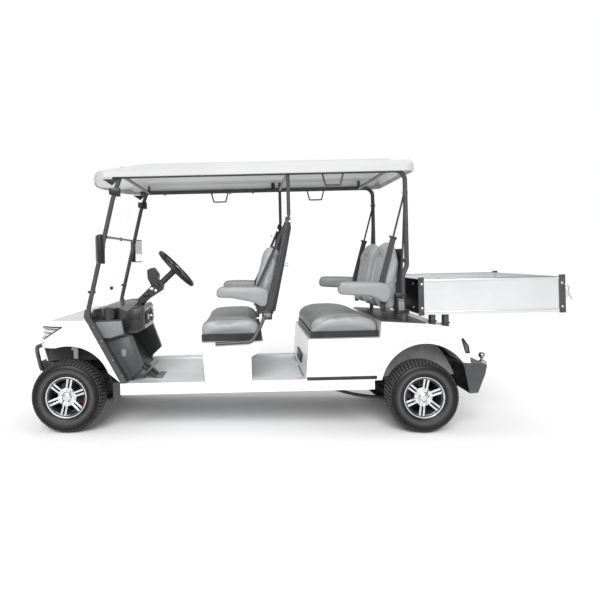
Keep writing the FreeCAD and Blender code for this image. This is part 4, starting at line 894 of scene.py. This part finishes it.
def woven_belt():
    """Black webbing with a diagonal weave."""
    f = Finish("belt_webbing", Roughness=0.75)
    twill = f.bands("DIAGONAL", 260)
    f.paint(Base_Color=f.ramp(twill, (0.2, (0.020, 0.020, 0.022)), (0.8, (0.046, 0.046, 0.049))),
            Roughness=f.noise(60, 2) * 0.2 + 0.6)
    f.bump(twill, 0.35, 0.0004)
    return f.material


def bright_metal(name, dark, light, rough):
    """Plated steel, a little uneven."""
    f = Finish(name, Metallic=1.0, Roughness=rough)
    f.paint(Base_Color=f.clouds(30, 3, dark, light), Roughness=f.noise(90, 2) * 0.12 + (rough - 0.05))
    return f.material


def lamp_lens(name, flutes, tint):
    """A moulded lens: smooth outside, with flutes that show through it."""
    f = Finish(name, Roughness=0.08, Coat_Weight=1.0, Coat_Roughness=0.03)
    lines = f.bands("Z", flutes)
    f.paint(Base_Color=tint(f, lines), Roughness=lines * 0.1 + 0.05)
    f.bump(lines, 0.3, 0.0008)
    return f.material


def clear_tint(f, lines):
    """Clear glass over a bright bowl."""
    return f.ramp(lines, (0.1, (0.09, 0.092, 0.095)), (0.9, (0.56, 0.57, 0.58)))


def tail_tint(f, lines):
    """Red across the cart's back, smoked grey where the lamp wraps round its corner."""
    red = f.ramp(lines, (0.1, (0.09, 0.010, 0.010)), (0.9, (0.24, 0.025, 0.022)))
    smoke = f.ramp(lines, (0.1, (0.030, 0.030, 0.032)), (0.9, (0.155, 0.157, 0.160)))
    return f.blend(f.share(f.size_of(f.along("Y")), 0.572, 0.590), red, smoke)


def arch_lining():
    """Black at the front, greyer in the rear arches: partly dust, partly painted light that lifts their
    shaded wells.
    """
    f = Finish("liner_dust_and_painted_light", Roughness=0.5, Specular_IOR_Level=0.4)
    cloud = f.noise(9, 3)
    clean = f.ramp(cloud, (0.35, (0.026, 0.026, 0.028)), (0.65, (0.046, 0.046, 0.048)))
    # The rear shade is greyer: partly dust, partly painted light for the shaded rear wells.
    rear_dust_and_light = f.ramp(cloud, (0.35, (0.20, 0.20, 0.203)), (0.65, (0.28, 0.28, 0.283)))
    f.paint(Base_Color=f.blend(f.share(f.along("X"), 0.3, -0.3), clean, rear_dust_and_light),
            Roughness=f.noise(30, 2) * 0.15 + 0.43)
    return f.material


def screen_sheet():
    """Clear sheet that shows only its gloss and a thin film of dust."""
    f = Finish("screen_clear", Base_Color=(0.9, 0.92, 0.93), Roughness=0.05)
    dust = f.noise(5, 4, 0.65)
    f.paint(Alpha=dust * 0.03 + 0.012, Roughness=dust * 0.1 + 0.02)
    return f.material


BED = brushed_aluminium()
FLOOR_MAT = floor_mat()
WEBBING = woven_belt()
CHROME = bright_metal("tow_chrome", (0.30, 0.305, 0.31), (0.52, 0.525, 0.53), 0.16)
ZINC = bright_metal("bolt_zinc", (0.52, 0.53, 0.55), (0.68, 0.69, 0.70), 0.3)
LENS = lamp_lens("lamp_lens", 11, clear_tint)
RED_LENS = lamp_lens("lamp_red", 30, tail_tint)
SCREEN = screen_sheet()
ARCH_LINING = arch_lining()
GRIP = moulded("grip_black", (0.007, 0.007, 0.008), (0.014, 0.014, 0.015), 0.36)
DASH_SKIN = moulded("dash_skin", (0.010, 0.010, 0.011), (0.019, 0.019, 0.021), 0.4, 0.55)
PANEL_GREY = moulded("panel_grey", (0.150, 0.153, 0.156), (0.190, 0.193, 0.197), 0.5)
BUMPER = moulded("bumper_grey", (0.042, 0.043, 0.045), (0.062, 0.063, 0.065), 0.42)
print("solid finishes ready")

# %% Finishes on the solid model's nodes
NODE_FINISH = {
    "frame": STEEL, "floor_pan": FLOOR_MAT, "side_sills": WHITE, "front_cowl": WHITE,
    "headlamps": LENS, "front_seat_pod": WHITE, "tail_lamps": RED_LENS, "rear_body": WHITE,
    "arch_liners": ARCH_LINING, "roof": ROOF, "roof_frame": TUBE, "mid_posts": TUBE,
    "windscreen": SCREEN, "front_struts": TUBE, "mirrors": PLASTIC, "steering_column": PLASTIC,
    "dash": DASH_SKIN, "firewall": BUMPER, "steering_wheel": GRIP, "pedals": STEEL,
    "battery_block": LINER, "seat_trays": PLASTIC, "cushions": SEAT_TOP, "backrests": BACK_PAD,
    "back_shells": PLASTIC, "armrests": ARM_PAD, "belts": WEBBING, "belt_hardware": GRIP,
    "front_bumper": TUBE, "rear_bumper": BUMPER, "hitch": CHROME, "bed_tray": BED,
    "bed_frame": TUBE, "tailgate": BED, "front_axle": STEEL, "knuckle_left": STEEL,
    "knuckle_right": STEEL, "tie_rod": ZINC, "rear_axle": STEEL, "springs": STEEL}
for corner in CORNERS:
    NODE_FINISH |= {"tyre_" + corner: TYRE, "rim_" + corner: ALLOY}
for name, finish in NODE_FINISH.items():
    nodes[name].data.materials.clear()
    nodes[name].data.materials.append(finish)
print("nodes with a finish:", len(NODE_FINISH), "of", len(nodes))

# %% [markdown]
# The real roof thins to a lip at the front, where the moulded sheet is drawn down like the peak of
# a cap. A copy of the solid roof is enough for that: it is merged and sliced across, and each slice
# is pressed down towards the lower edge, more and more so to the front.

# %% Roof shell
ROOF_LOW = 1757
PEAK = [(-600, 0.0), (-417, 0.10), (-278, 0.36), (-148, 0.62), (-100, 0.86)]
SLICE = 40


def merged_copy(node):
    """A node's mesh in a new bmesh, where the loose triangles share their corners."""
    bm = bmesh.new()
    bm.from_mesh(nodes[node].data)
    bmesh.ops.remove_doubles(bm, verts=bm.verts, dist=0.05 * MM)
    return bm


def peak_drop(x):
    """What share of its height the roof loses at a place along the cart."""
    for (back, less), (ahead, more) in zip(PEAK, PEAK[1:]):
        if x < ahead:
            return less + (more - less) * max(0.0, (x - back) / (ahead - back))
    return PEAK[-1][1]


bm = merged_copy("roof")
bmesh.ops.transform(bm, matrix=(BODY @ SCALE).inverted(), verts=bm.verts)
for x in range(PEAK[0][0], PEAK[-1][0], SLICE):
    bmesh.ops.bisect_plane(bm, geom=[*bm.verts, *bm.edges, *bm.faces], dist=0.01, plane_co=(x, 0, 0),
                           plane_no=(1, 0, 0))
for vert in bm.verts:
    vert.co.z -= max(vert.co.z - ROOF_LOW, 0) * peak_drop(vert.co.x)
shell = finish_piece("roof_shell", bm.copy(), ROOF, stands_for=["roof"])
print("roof faces:", len(shell.data.polygons))

# %% [markdown]
# Under the outer skin is a lining, painted far paler than the skin on top: painted light that lifts
# the roof's shaded underside. It follows the skin exactly, so it isn't drawn: the faces of the same
# sliced copy that look down are kept, and they are given a thickness of their own.

# %% Roof lining, painted light
LINING_GAP, LINING_THICK, FACES_DOWN = 1.2, 0.6, -0.35

bm.normal_update()
bmesh.ops.delete(bm, geom=[f for f in bm.faces if f.normal.z > FACES_DOWN], context="FACES")
bmesh.ops.translate(bm, vec=(0, 0, -LINING_GAP), verts=bm.verts)
bmesh.ops.solidify(bm, geom=list(bm.faces), thickness=-LINING_THICK)
lining = finish_piece("roof_lining_painted_light", bm, ROOF_UNDERSIDE_LIGHT)
print("lining faces:", len(lining.data.polygons))

# %% [markdown]
# Small hardware comes next: bolts, knobs, brackets and bent rods. Nearly all of it is one of four
# shapes, so four helpers are enough: a peg with eased rims, a bolt made of two pegs, a turned shape
# on any axis, and a rod bent through points. A mirror copies what sits on both sides of the cart.

# %% Hardware helpers
AXES = {"x": turned("Y", 90), "y": turned("X", -90), "z": Matrix.Identity(3)}


def peg(bm, at, radius, length, axis="y", edge=0.0, sides=24):
    """A round peg that runs from a point along an axis, with both rims eased."""
    made = bmesh.ops.create_cone(bm, cap_ends=True, segments=sides, radius1=radius, radius2=radius,
                                 depth=abs(length))["verts"]
    if edge:
        rims = {e for v in made for e in v.link_edges if abs(e.verts[0].co.z - e.verts[1].co.z) < 0.001}
        eased = bmesh.ops.bevel(bm, geom=list(rims), offset=edge, segments=2, profile=0.5,
                                affect="EDGES", material=-1)["verts"]
        made = list({v for v in [*made, *eased] if v.is_valid})
    bmesh.ops.rotate(bm, cent=(0, 0, 0), matrix=AXES[axis], verts=made)
    bmesh.ops.translate(bm, vec=Vector(at) + AXES[axis] @ Vector((0, 0, length / 2)), verts=made)
    return made


def bolt(bm, at, axis="y", size=6.0, out=1):
    """A hex head on its washer, standing out from a face."""
    peg(bm, at, size * 1.3, 1.6 * out, axis, 0.4)
    peg(bm, Vector(at) + AXES[axis] @ Vector((0, 0, 1.6 * out)), size, 4.4 * out, axis, 0.8, 6)


def lathe(bm, points, at, axis="z", steps=40, close=True):
    """A profile of (along, radius) points, spun about an axis through a point."""
    made = ring(bm, points, steps, close)
    bmesh.ops.rotate(bm, cent=(0, 0, 0), matrix=AXES[axis] @ AXES["y"].inverted(), verts=made)
    bmesh.ops.translate(bm, vec=at, verts=made)
    return made


def bent_rod(bm, points, radius, loop=False):
    """A round rod bent through points, made as a curve with a round bevel."""
    curve = bpy.data.curves.new("rod", "CURVE")
    curve.dimensions = "3D"
    curve.bevel_depth = radius
    curve.bevel_resolution = 3
    curve.use_fill_caps = True
    line = curve.splines.new("NURBS")
    line.points.add(len(points) - 1)
    for point, place in zip(line.points, points):
        point.co = (*place, 1)
    line.order_u = 3
    line.use_endpoint_u = not loop
    line.use_cyclic_u = loop
    rod = bpy.data.objects.new("rod", curve)
    mesh = bpy.data.meshes.new_from_object(rod)
    bm.from_mesh(mesh)
    bpy.data.objects.remove(rod)
    bpy.data.meshes.remove(mesh)


def twin(bm):
    """Add the mirror image of everything, across the cart's middle."""
    bmesh.ops.mirror(bm, geom=[*bm.verts, *bm.edges, *bm.faces], matrix=Matrix.Identity(4),
                     merge_dist=0, axis="Y")
    return bm


print("hardware helpers ready")

# %% [markdown]
# The dash is one black moulding with a light-grey panel on each end, a ribbed cup holder in each
# corner and a binnacle in front of the driver. The solid model has those masses. What it lacks is
# what a moulder adds: raised panels with soft edges, ribs round the cups, and the switches.

# %% Dash panels, cups and switches
DASH_END = 545
CUP = (-286, 490, 0)

bm = bmesh.new()
plate(bm, [(-228, 648), (-196, 757), (-381, 762), (-396, 673), (-306, 648)], DASH_END - 2, DASH_END + 3, 1.5)
finish_piece("dash_end_panels", twin(bm), PANEL_GREY)

bm = bmesh.new()
for high in range(778, 838, 8):
    lathe(bm, [(high, 47), (high, 49.6), (high + 3.4, 49.6), (high + 3.4, 47)], CUP)
lathe(bm, [(842, 37.5), (842, 50.5), (846, 50.5), (848, 48), (848, 40), (846, 37.5)], CUP)
finish_piece("cup_ribs", twin(bm), POCKET)

bm = bmesh.new()
plate(bm, [(-400, 796), (-444, 836), (-508, 842), (-512, 806), (-512, 704), (-470, 684), (-400, 684)],
      448, 453, 2)
plate(bm, [(-420, 792), (-450, 816), (-496, 820), (-496, 764), (-420, 756)], 451, 455, 1.5)
bar(bm, (12, 330, 96), (-530, 256, 768), edge=5)
finish_piece("dash_panels", bm, PLASTIC)

bm = bmesh.new()
plate(bm, [(-300, 630), (-384, 650), (-432, 640), (-500, 442), (-432, 376), (-290, 622)], 496, 503, 3)
finish_piece("foot_panels", bm, BUMPER)

bm = bmesh.new()
for y in (150, 186):
    bar(bm, (10, 24, 36), (-538, y, 790), edge=3)
peg(bm, (-534, 262, 776), 18, -20, "x", 3)
bar(bm, (14, 8, 34), (-556, 262, 776), edge=3)
bar(bm, (10, 52, 46), (-538, 388, 776), edge=3)
for y in (140, 170, 200, 300, 340):
    peg(bm, (-534, y, 738), 8, -9, "x", 2)
finish_piece("dash_switches", bm, POCKET)

bm = bmesh.new()
peg(bm, (-534, 322, 776), 11, -9, "x", 1.5)
bar(bm, (24, 2.4, 12), (-552, 322, 776), edge=0.8)
bar(bm, (6, 34, 28), (-542, 388, 776), edge=2)
bar(bm, (5, 60, 16), (-538, 168, 818), edge=2)
finish_piece("dash_keys", bm, ZINC)

bm = bmesh.new()
plate(bm, [(-371, 510), (-371, 558), (-401, 558), (-401, 510)], 502, 504, 0.6)
finish_piece("bare_plate", bm, PANEL_GREY)
print("dash done")

# %% [markdown]
# The steering wheel turns, so it is drawn about its own centre and placed by a matrix that leans
# it back towards the driver. The rim is a circle turned about the column, a little flattened, as a
# moulded rim is; the hub cover is turned too, and each spoke is a bevelled bar with a bright inlay.

# %% Steering wheel and column
WHEEL_AT = BODY @ Matrix.Translation(Vector((-740, 270, 1113)) * MM) @ turned("Y", -47, 4)
CENTRE = (0, 0, 0)
RIM_RADIUS, RIM_THICK, RIM_SIDES = 165, 13, 14
SPOKE_ANGLES = (90, 210, 330)

bm = bmesh.new()
rim_angles = [math.tau * k / RIM_SIDES for k in range(RIM_SIDES)]
lathe(bm, [(RIM_THICK * 1.08 * math.sin(a), RIM_RADIUS + RIM_THICK * 0.94 * math.cos(a)) for a in rim_angles],
      CENTRE, steps=72)
lathe(bm, [(-32, 26), (-24, 30), (-6, 44), (4, 46), (11, 42), (15, 34), (16, 0.5), (-32, 0.5)], CENTRE)
for angle in SPOKE_ANGLES:
    made = bar(bm, (124, 30, 9), (96, 0, -2), edge=3)
    for vert in made:
        vert.co.y *= 1.25 - vert.co.x / 400
    bmesh.ops.rotate(bm, cent=CENTRE, matrix=turned("Z", angle), verts=made)
finish_piece("steering_grip", bm, GRIP, "hand_wheel", WHEEL_AT, 40, ["steering_wheel"])

bm = bmesh.new()
for angle in SPOKE_ANGLES:
    made = bar(bm, (78, 13, 3), (94, 0, 3.2), edge=1)
    bmesh.ops.rotate(bm, cent=CENTRE, matrix=turned("Z", angle), verts=made)
lathe(bm, [(14, 20), (17.5, 20), (17.5, 24), (14, 24)], CENTRE)
finish_piece("steering_inlays", bm, ZINC, "hand_wheel", WHEEL_AT)

GAUGE_TILT = turned("Y", 123.7)
bm = bmesh.new()
bar(bm, (64, 92, 6), (-593, 270, 1097), GAUGE_TILT, 2)
peg(bm, (-610, 306, 1000), 6, 78, "y", 2)
peg(bm, (-610, 380, 1000), 10, 26, "y", 4)
bar(bm, (40, 16, 22), (-520, 310, 925), edge=5)
finish_piece("column_fittings", bm, GRIP)

bm = bmesh.new()
bar(bm, (52, 78, 2), (-596.5, 270, 1099.5), GAUGE_TILT, 0.6)
finish_piece("gauge_glass", bm, POCKET)

bm = bmesh.new()
peg(bm, (-590, 304, 955), 10, 8, "y", 2)
bar(bm, (30, 10, 18), (-560, 308, 968), edge=4)
finish_piece("column_lock", bm, ZINC)
print("steering done")

# %% [markdown]
# The pedals are hinged on the floor. Each is a steel plate under a ribbed rubber pad, and the pad
# follows the pedal's slope, so its ribs are bars laid along that slope.

# %% Pedals
PEDALS = (180, 300)
SLOPE = turned("Y", 44.5)

bm = bmesh.new()
for y in PEDALS:
    bar(bm, (122, 74, 6), (-524.5, y, 372.5), SLOPE, 2.5)
    for k in range(-4, 5):
        bar(bm, (5, 62, 5), Vector((-527, y, 375)) + SLOPE @ Vector((k * 12.5, 0, 0)), SLOPE, 1)
finish_piece("pedal_pads", bm, GRIP)

bm = bmesh.new()
for y in PEDALS:
    for side in (-1, 1):
        bar(bm, (126, 3, 9), Vector((-525, y + side * 38, 373)), SLOPE, 1)
bar(bm, (52, 250, 5), (-604, 236, 325), edge=2)
finish_piece("pedal_frames", bm, PANEL_GREY)
print("pedals done")

# %% [markdown]
# The mirrors hang outside the front struts. A housing is one moulding with big soft corners, so a
# box with a wide bevel is its shape; the glass sits in a lip on the side that faces the driver. Each
# strut also carries a clamp under the roof, a catch for the folding screen and its hand knob.

# %% Mirrors and strut fittings
STRUT_X, STRUT_Z, STRUT_SLOPE = -160, 850, 0.2434


def strut_at(z):
    """How far back the struts' line stands at a height."""
    return STRUT_X - (z - STRUT_Z) * STRUT_SLOPE


MIRROR = Vector((-272, 672, 1262))
INWARD = turned("Z", 20)

bm = bmesh.new()
bar(bm, (42, 124, 196), MIRROR, INWARD, 16, 4)
bar(bm, (14, 128, 200), MIRROR + INWARD @ Vector((-21, 0, 0)), INWARD, 6)
peg(bm, (-262, 572, 1290), 7, 60)
bar(bm, (40, 26, 44), (strut_at(1290), 572, 1290), edge=5)
bar(bm, (62, 46, 46), (strut_at(1660) + 3, 560, 1660), edge=4)
bar(bm, (26, 44, 60), (strut_at(1660) - 26, 560, 1655), edge=4)
for z in (968, 1346):
    peg(bm, (strut_at(z) + 16, 560, z), 9, 14, "x", 3)
    bar(bm, (26, 30, 22), (strut_at(z) - 4, 548, z), edge=3)
finish_piece("mirror_housings", twin(bm), GRIP, stands_for=["mirrors"])


def mirror_glass():
    """Silvered glass under a faint haze."""
    f = Finish("mirror_glass", Metallic=1.0, Roughness=0.03)
    haze = f.noise(4, 3)
    f.paint(Base_Color=f.ramp(haze, (0.3, (0.86, 0.87, 0.88)), (0.7, (0.93, 0.94, 0.95))),
            Roughness=haze * 0.05)
    return f.material


bm = bmesh.new()
bar(bm, (2, 112, 184), MIRROR + INWARD @ Vector((-28.5, 0, 0)), INWARD, 0.8)
finish_piece("mirror_faces", twin(bm), mirror_glass())

bm = bmesh.new()
bar(bm, (18, 40, 26), (-198, 0, 968), edge=3)
bar(bm, (8, 34, 30), (strut_at(1347), 0, 1347), edge=2)
finish_piece("screen_catches", bm, GRIP)

bm = bmesh.new()
for x, z in ((-202, 727), (-257, 632), (-330, 500), (-390, 392)):
    bolt(bm, (x, 601, z), "y", 5)
finish_piece("strut_bolts", twin(bm), PANEL_GREY)

bm = bmesh.new()
plate(bm, [(-280, 1745), (-384, 1745), (-341, 1703)], 548, 574, 2)
twin(bm)
for x in (-558, -968, -1125, -1325):
    bar(bm, (16, 18, 22), (x, -562, 1751), edge=3)
bar(bm, (30, 10, 118), (-1501, -560, 1812), edge=2)
finish_piece("roof_clips", bm, GRIP)
print("mirrors done")

# %% [markdown]
# Each belt runs from a ring on its post, through a guide, across the backrest's edge and down to a
# reel. Webbing is a flat woven strip, so a thin plate along each run is enough, as a strip pulled
# tight lies straight. The mid posts carry a moulded cover beside the tube, which the belt runs over.

# %% Belts
def run(bm, line, wide, low):
    """A flat strip along (x, z) points, as one plate that keeps its width at the bends."""
    left, right = [], []
    for k, (x, z) in enumerate(line):
        ahead = Vector(line[min(k + 1, len(line) - 1)]) - Vector(line[max(k - 1, 0)])
        across = Vector((-ahead.y, ahead.x)).normalized() * wide / 2
        left.append((x + across.x, z + across.y))
        right.append((x - across.x, z - across.y))
    return plate(bm, left + right[::-1], low, low + 2.4, 0.5, 1)


bm = bmesh.new()
run(bm, [(-1548, 1440), (-1460, 1246), (-1329, 972), (-1322, 860), (-1352, 790)], 20, 541)
run(bm, [(-1552, 1440), (-1500, 1160), (-1412, 812)], 26, 563)
run(bm, [(-2366, 1608), (-2281, 1299)], 14, 544)
run(bm, [(-2283, 1306), (-2281, 1290), (-2194, 984), (-2202, 830)], 40, 543)
run(bm, [(-2366, 1608), (-2344, 1200), (-2322, 860)], 13, 549)
finish_piece("belt_strips", twin(bm), WEBBING, stands_for=["belts"])

bm = bmesh.new()
plate(bm, [(-1536, 1462), (-1566, 1452), (-1574, 1380), (-1537, 1198), (-1466, 868), (-1452, 806),
           (-1404, 806), (-1424, 900), (-1482, 1150), (-1510, 1290)], 536, 562, 6, 3)
bar(bm, (70, 34, 68), (-1394, 556, 784), edge=7, segments=3)
bar(bm, (60, 40, 112), (-2320, 560, 826), edge=7, segments=3)
bar(bm, (74, 44, 30), (-2318, 556, 900), edge=6)
for x, z in ((-1460, 1246), (-2281, 1299)):
    bar(bm, (56, 8, 16), (x, 543, z), turned("Y", -20), 3)
peg(bm, (-1394, 520, 784), 24, 54, "y", 4)
bar(bm, (30, 34, 40), (-1326, 532, 786), edge=5)
bar(bm, (30, 30, 44), (-2204, 528, 808), edge=5)
finish_piece("belt_covers", twin(bm), PLASTIC, stands_for=["belt_hardware"])

bm = bmesh.new()
for x, z, y in ((-1553, 1452, 566), (-2368, 1618, 552)):
    bent_rod(bm, [(x - 24, y, z - 26), (x + 26, y, z - 26), (x + 12, y, z + 16), (x - 12, y, z + 16)],
             3.2, loop=True)
    bolt(bm, (x, y - 2, z + 8), "y", 7)
bar(bm, (22, 4, 12), (-1478, 545, 1366), turned("Y", -24), 1.4)
peg(bm, (-1528, 548, 1127), 8, 14, "y", 3)
peg(bm, (-1548, 556, 1127), 11, 22, "x", 4)
finish_piece("belt_rings", twin(bm), ZINC)

bm = bmesh.new()
bar(bm, (46, 3, 26), (-1394, 574.5, 782), edge=1)
bar(bm, (40, 3, 62), (-2320, 581, 826), edge=1)
bar(bm, (36, 6, 10), (-2320, 583, 866), edge=2)
bolt(bm, (-1394, 575, 762), "y", 4)
finish_piece("belt_reel_faces", twin(bm), PANEL_GREY)
print("belts done")

# %% [markdown]
# The cargo bed is folded sheet aluminium on black corner posts. Its face gets the folded rails at
# the top, the bright bolts that hold it to the posts, and a bent latch on each side of the gate.
# The bed's front board is painted black.

# %% Cargo bed fittings
BED_LONG, BED_MID = 926, -2942

bm = bmesh.new()
for x, z in ((-2462, 806), (-2462, 971), (-3427, 797), (-3427, 960)):
    peg(bm, (x, 585, z), 8.5, 4.5, "y", 1.8)
for z in (802, 969):
    peg(bm, (-2446, 426, z), 8.5, 5, "x", 1.8)
bent_rod(bm, [(-3444, 586, 952), (-3452, 594, 948), (-3470, 596, 930), (-3462, 596, 896), (-3478, 596, 862),
              (-3486, 596, 846)], 5)
finish_piece("bed_bolts", twin(bm), ZINC)

bm = bmesh.new()
bar(bm, (3, 1104, 232), (-2449.5, 0, 884), edge=1)
bar(bm, (10, 1112, 12), (-2446, 0, 1000), edge=2)
finish_piece("bed_front_board", bm, GRIP)

bm = bmesh.new()
bar(bm, (BED_LONG, 7, 11), (BED_MID, 586, 997.5), edge=2)
bar(bm, (BED_LONG, 4, 6), (BED_MID, 586.5, 781), edge=1.5)
finish_piece("bed_rails", twin(bm), BED)

bm = bmesh.new()
bar(bm, (BED_LONG, 5, 4), (BED_MID, 582, 1004), edge=1)
finish_piece("bed_edges", twin(bm), BUMPER)

bm = bmesh.new()
peg(bm, (-3436, 576, 1004), 11, 14, "z", 4)
bar(bm, (20, 20, 6), (-3436, 576, 1006), edge=2)
for x, z in ((-2543, 712), (-2635, 697)):
    bar(bm, (50, 76, 6), (x, 530, z), turned("Y", 10), 2)
finish_piece("bed_knobs", twin(bm), GRIP)
print("bed done")

# %% [markdown]
# A lamp is a clear shell over a bright bowl, in a black frame. The solid model's lamps are already
# cut from the body's own curves, so the frame is drawn from their sharp edges: a copy of the lamp's
# mesh is merged, and the edges where its outer skin ends are swept with a thin round seal.

# %% Lamp frames
SHARP, SHORTEST = 50, 0.5


def lamp_seal(name, node, radius):
    """A round seal along a lamp's sharp edges, made of one rod to an edge."""
    bm = merged_copy(node)
    sharp = [e for e in bm.edges if len(e.link_faces) == 2 and e.calc_face_angle() >= math.radians(SHARP)]
    seal = bmesh.new()
    inverse = BODY.inverted()
    for edge in sharp:
        start, end = (inverse @ v.co / MM for v in edge.verts)
        span = end - start
        if span.length < SHORTEST:
            continue
        made = bmesh.ops.create_cone(seal, cap_ends=True, segments=8, radius1=radius, radius2=radius,
                                     depth=span.length + radius)["verts"]
        bmesh.ops.rotate(seal, cent=(0, 0, 0), matrix=span.to_track_quat("Z", "Y").to_matrix(), verts=made)
        bmesh.ops.translate(seal, vec=(start + end) / 2, verts=made)
    finish_piece(name, seal, GRIP, crease=60)
    edges = len(sharp)
    bm.free()
    return edges


print("headlamp seal edges:", lamp_seal("headlamp_frames", "headlamps", 4.4))
print("tail lamp seal edges:", lamp_seal("tail_lamp_frames", "tail_lamps", 6.0))

# %% [markdown]
# Behind the front wheels sit a coil round each damper and the brake calipers, whose red shows
# between the spokes. A coil is a circle spun about its axis while it climbs, with its ends closed.

# %% Coils and calipers
COIL_STEPS = 24


def coil(bm, at, radius, wire, rise, turns):
    """A coil spring that climbs from a point."""
    start = bmesh.ops.create_circle(bm, segments=10, radius=wire,
                                    matrix=Matrix.Translation((radius, 0, 0)) @ turned("X", 90, 4))["verts"]
    edges = list({e for v in start for e in v.link_edges})
    steps = turns * COIL_STEPS
    bmesh.ops.spin(bm, geom=start + edges, cent=(0, 0, 0), axis=(0, 0, 1), dvec=(0, 0, rise / steps),
                   angle=math.tau * turns, steps=steps, use_merge=False)
    bmesh.ops.translate(bm, vec=at, verts=bm.verts)
    bmesh.ops.holes_fill(bm, edges=[e for e in bm.edges if e.is_boundary])


bm = bmesh.new()
coil(bm, (0, 290, 200), 47, 5.5, 160, 6)
finish_piece("front_coils", twin(bm), STEEL, place=GROUND)

CALIPER = powder_coat("caliper_red", (0.16, 0.012, 0.022), (0.24, 0.020, 0.034), 0.35)
CALIPER_LEAN = turned("Y", -18)
for side, hand in ((1, "left"), (-1, "right")):
    bm = bmesh.new()
    bar(bm, (46, 44, 84), (-82, side * 436, 214), CALIPER_LEAN, 6)
    bar(bm, (34, 50, 40), (-86, side * 436, 214), CALIPER_LEAN, 8)
    finish_piece("caliper_" + hand, bm, CALIPER, hand + "_knuckle", GROUND)
print("coils and calipers done")

# %% [markdown]
# The body's small trim is last: a black rub strip along each rear step, the black recess with its
# ribbed pull in the rear box, and the bracket that carries the front bumper. All of it is straight
# and square, so bars with eased edges are enough.

# %% Body trim
bm = bmesh.new()
bar(bm, (478, 5, 22), (-1897, 605, 342), edge=2)
finish_piece("step_strips", twin(bm), PLASTIC)

BOX_LEAN = turned("Y", 4.8)
bm = bmesh.new()
bar(bm, (8, 400, 84), (-1657, 0, 408), BOX_LEAN, 3)
finish_piece("box_recess", bm, GRIP)
bm = bmesh.new()
for z in (388, 410, 432):
    bar(bm, (7, 350, 9), (-1652 - (z - 410) * 0.084, 0, z), BOX_LEAN, 2)
finish_piece("box_pull", bm, BUMPER)

bm = bmesh.new()
bar(bm, (150, 500, 70), (222, 0, 410), edge=10, segments=3)
bar(bm, (60, 560, 34), (150, 0, 366), edge=8)
finish_piece("bumper_bracket", bm, STEEL)

print("trim done")

# %% [markdown]
# A rear arch is pressed outwards round its wheel. Just past the flare's edge, a thin grey strip is
# laid on the body as a painted shadow line. Behind the wheel the well is closed by a lining. Both
# follow the arch, so their outlines are points on arcs about its centre. A bracket shows under the
# nose, over each front wheel.

# %% Wheel arches
ARCH_X, ARCH_Z = -2472, 257
# The painted shadow line at the flare's edge runs between the first two radii.
FLARE_SHADOW, WELL = (339, 343), 303


def arc(radius, start, end, step):
    """Points of the arch at a radius, between two angles in degrees."""
    angles = [math.radians(a) for a in range(start, end, step)]
    return [(ARCH_X + radius * math.cos(a), ARCH_Z + radius * math.sin(a)) for a in angles]


# A thin grey band on the body at the flare's edge: a painted shadow line.
bm = bmesh.new()
inner, outer = (arc(radius, 16, 147, 2) for radius in FLARE_SHADOW)
plate(bm, inner + outer[::-1], 601, 603.5)
finish_piece("flare_shadow_lines", twin(bm), ROOF)

bm = bmesh.new()
# The rear well walls stand in shade. Their lining is painted greyer there, partly dust and partly painted
# light.
well_foot = [(ARCH_X - back, ARCH_Z + up) for back, up in ((190, 200), (236, 120), (262, 54))]
plate(bm, arc(WELL, 9, 118, 3) + well_foot, 384, 387)
finish_piece("rear_well_walls", twin(bm), ARCH_LINING)

bm = bmesh.new()
bar(bm, (34, 8, 92), (-12, 366, 524), edge=3)
bar(bm, (46, 30, 26), (-8, 372, 556), edge=5)
finish_piece("arch_brackets", twin(bm), WHITE)
print("arches done")

# %% [markdown]
# The cart stands on plain white paper that runs far past the picture's edges, so one big flat grid
# is the floor.


# %% Floor
FLOOR_HALF = 40

bm = bmesh.new()
bmesh.ops.create_grid(bm, x_segments=1, y_segments=1, size=FLOOR_HALF)
floor_mesh = bpy.data.meshes.new("studio_floor")
bm.to_mesh(floor_mesh)
bm.free()
floor = bpy.data.objects.new("studio_floor", floor_mesh)
bpy.context.collection.objects.link(floor)
PAPER = Finish("studio_floor", Base_Color=(0.985, 0.985, 0.985), Roughness=0.9)
floor_mesh.materials.append(PAPER.material)
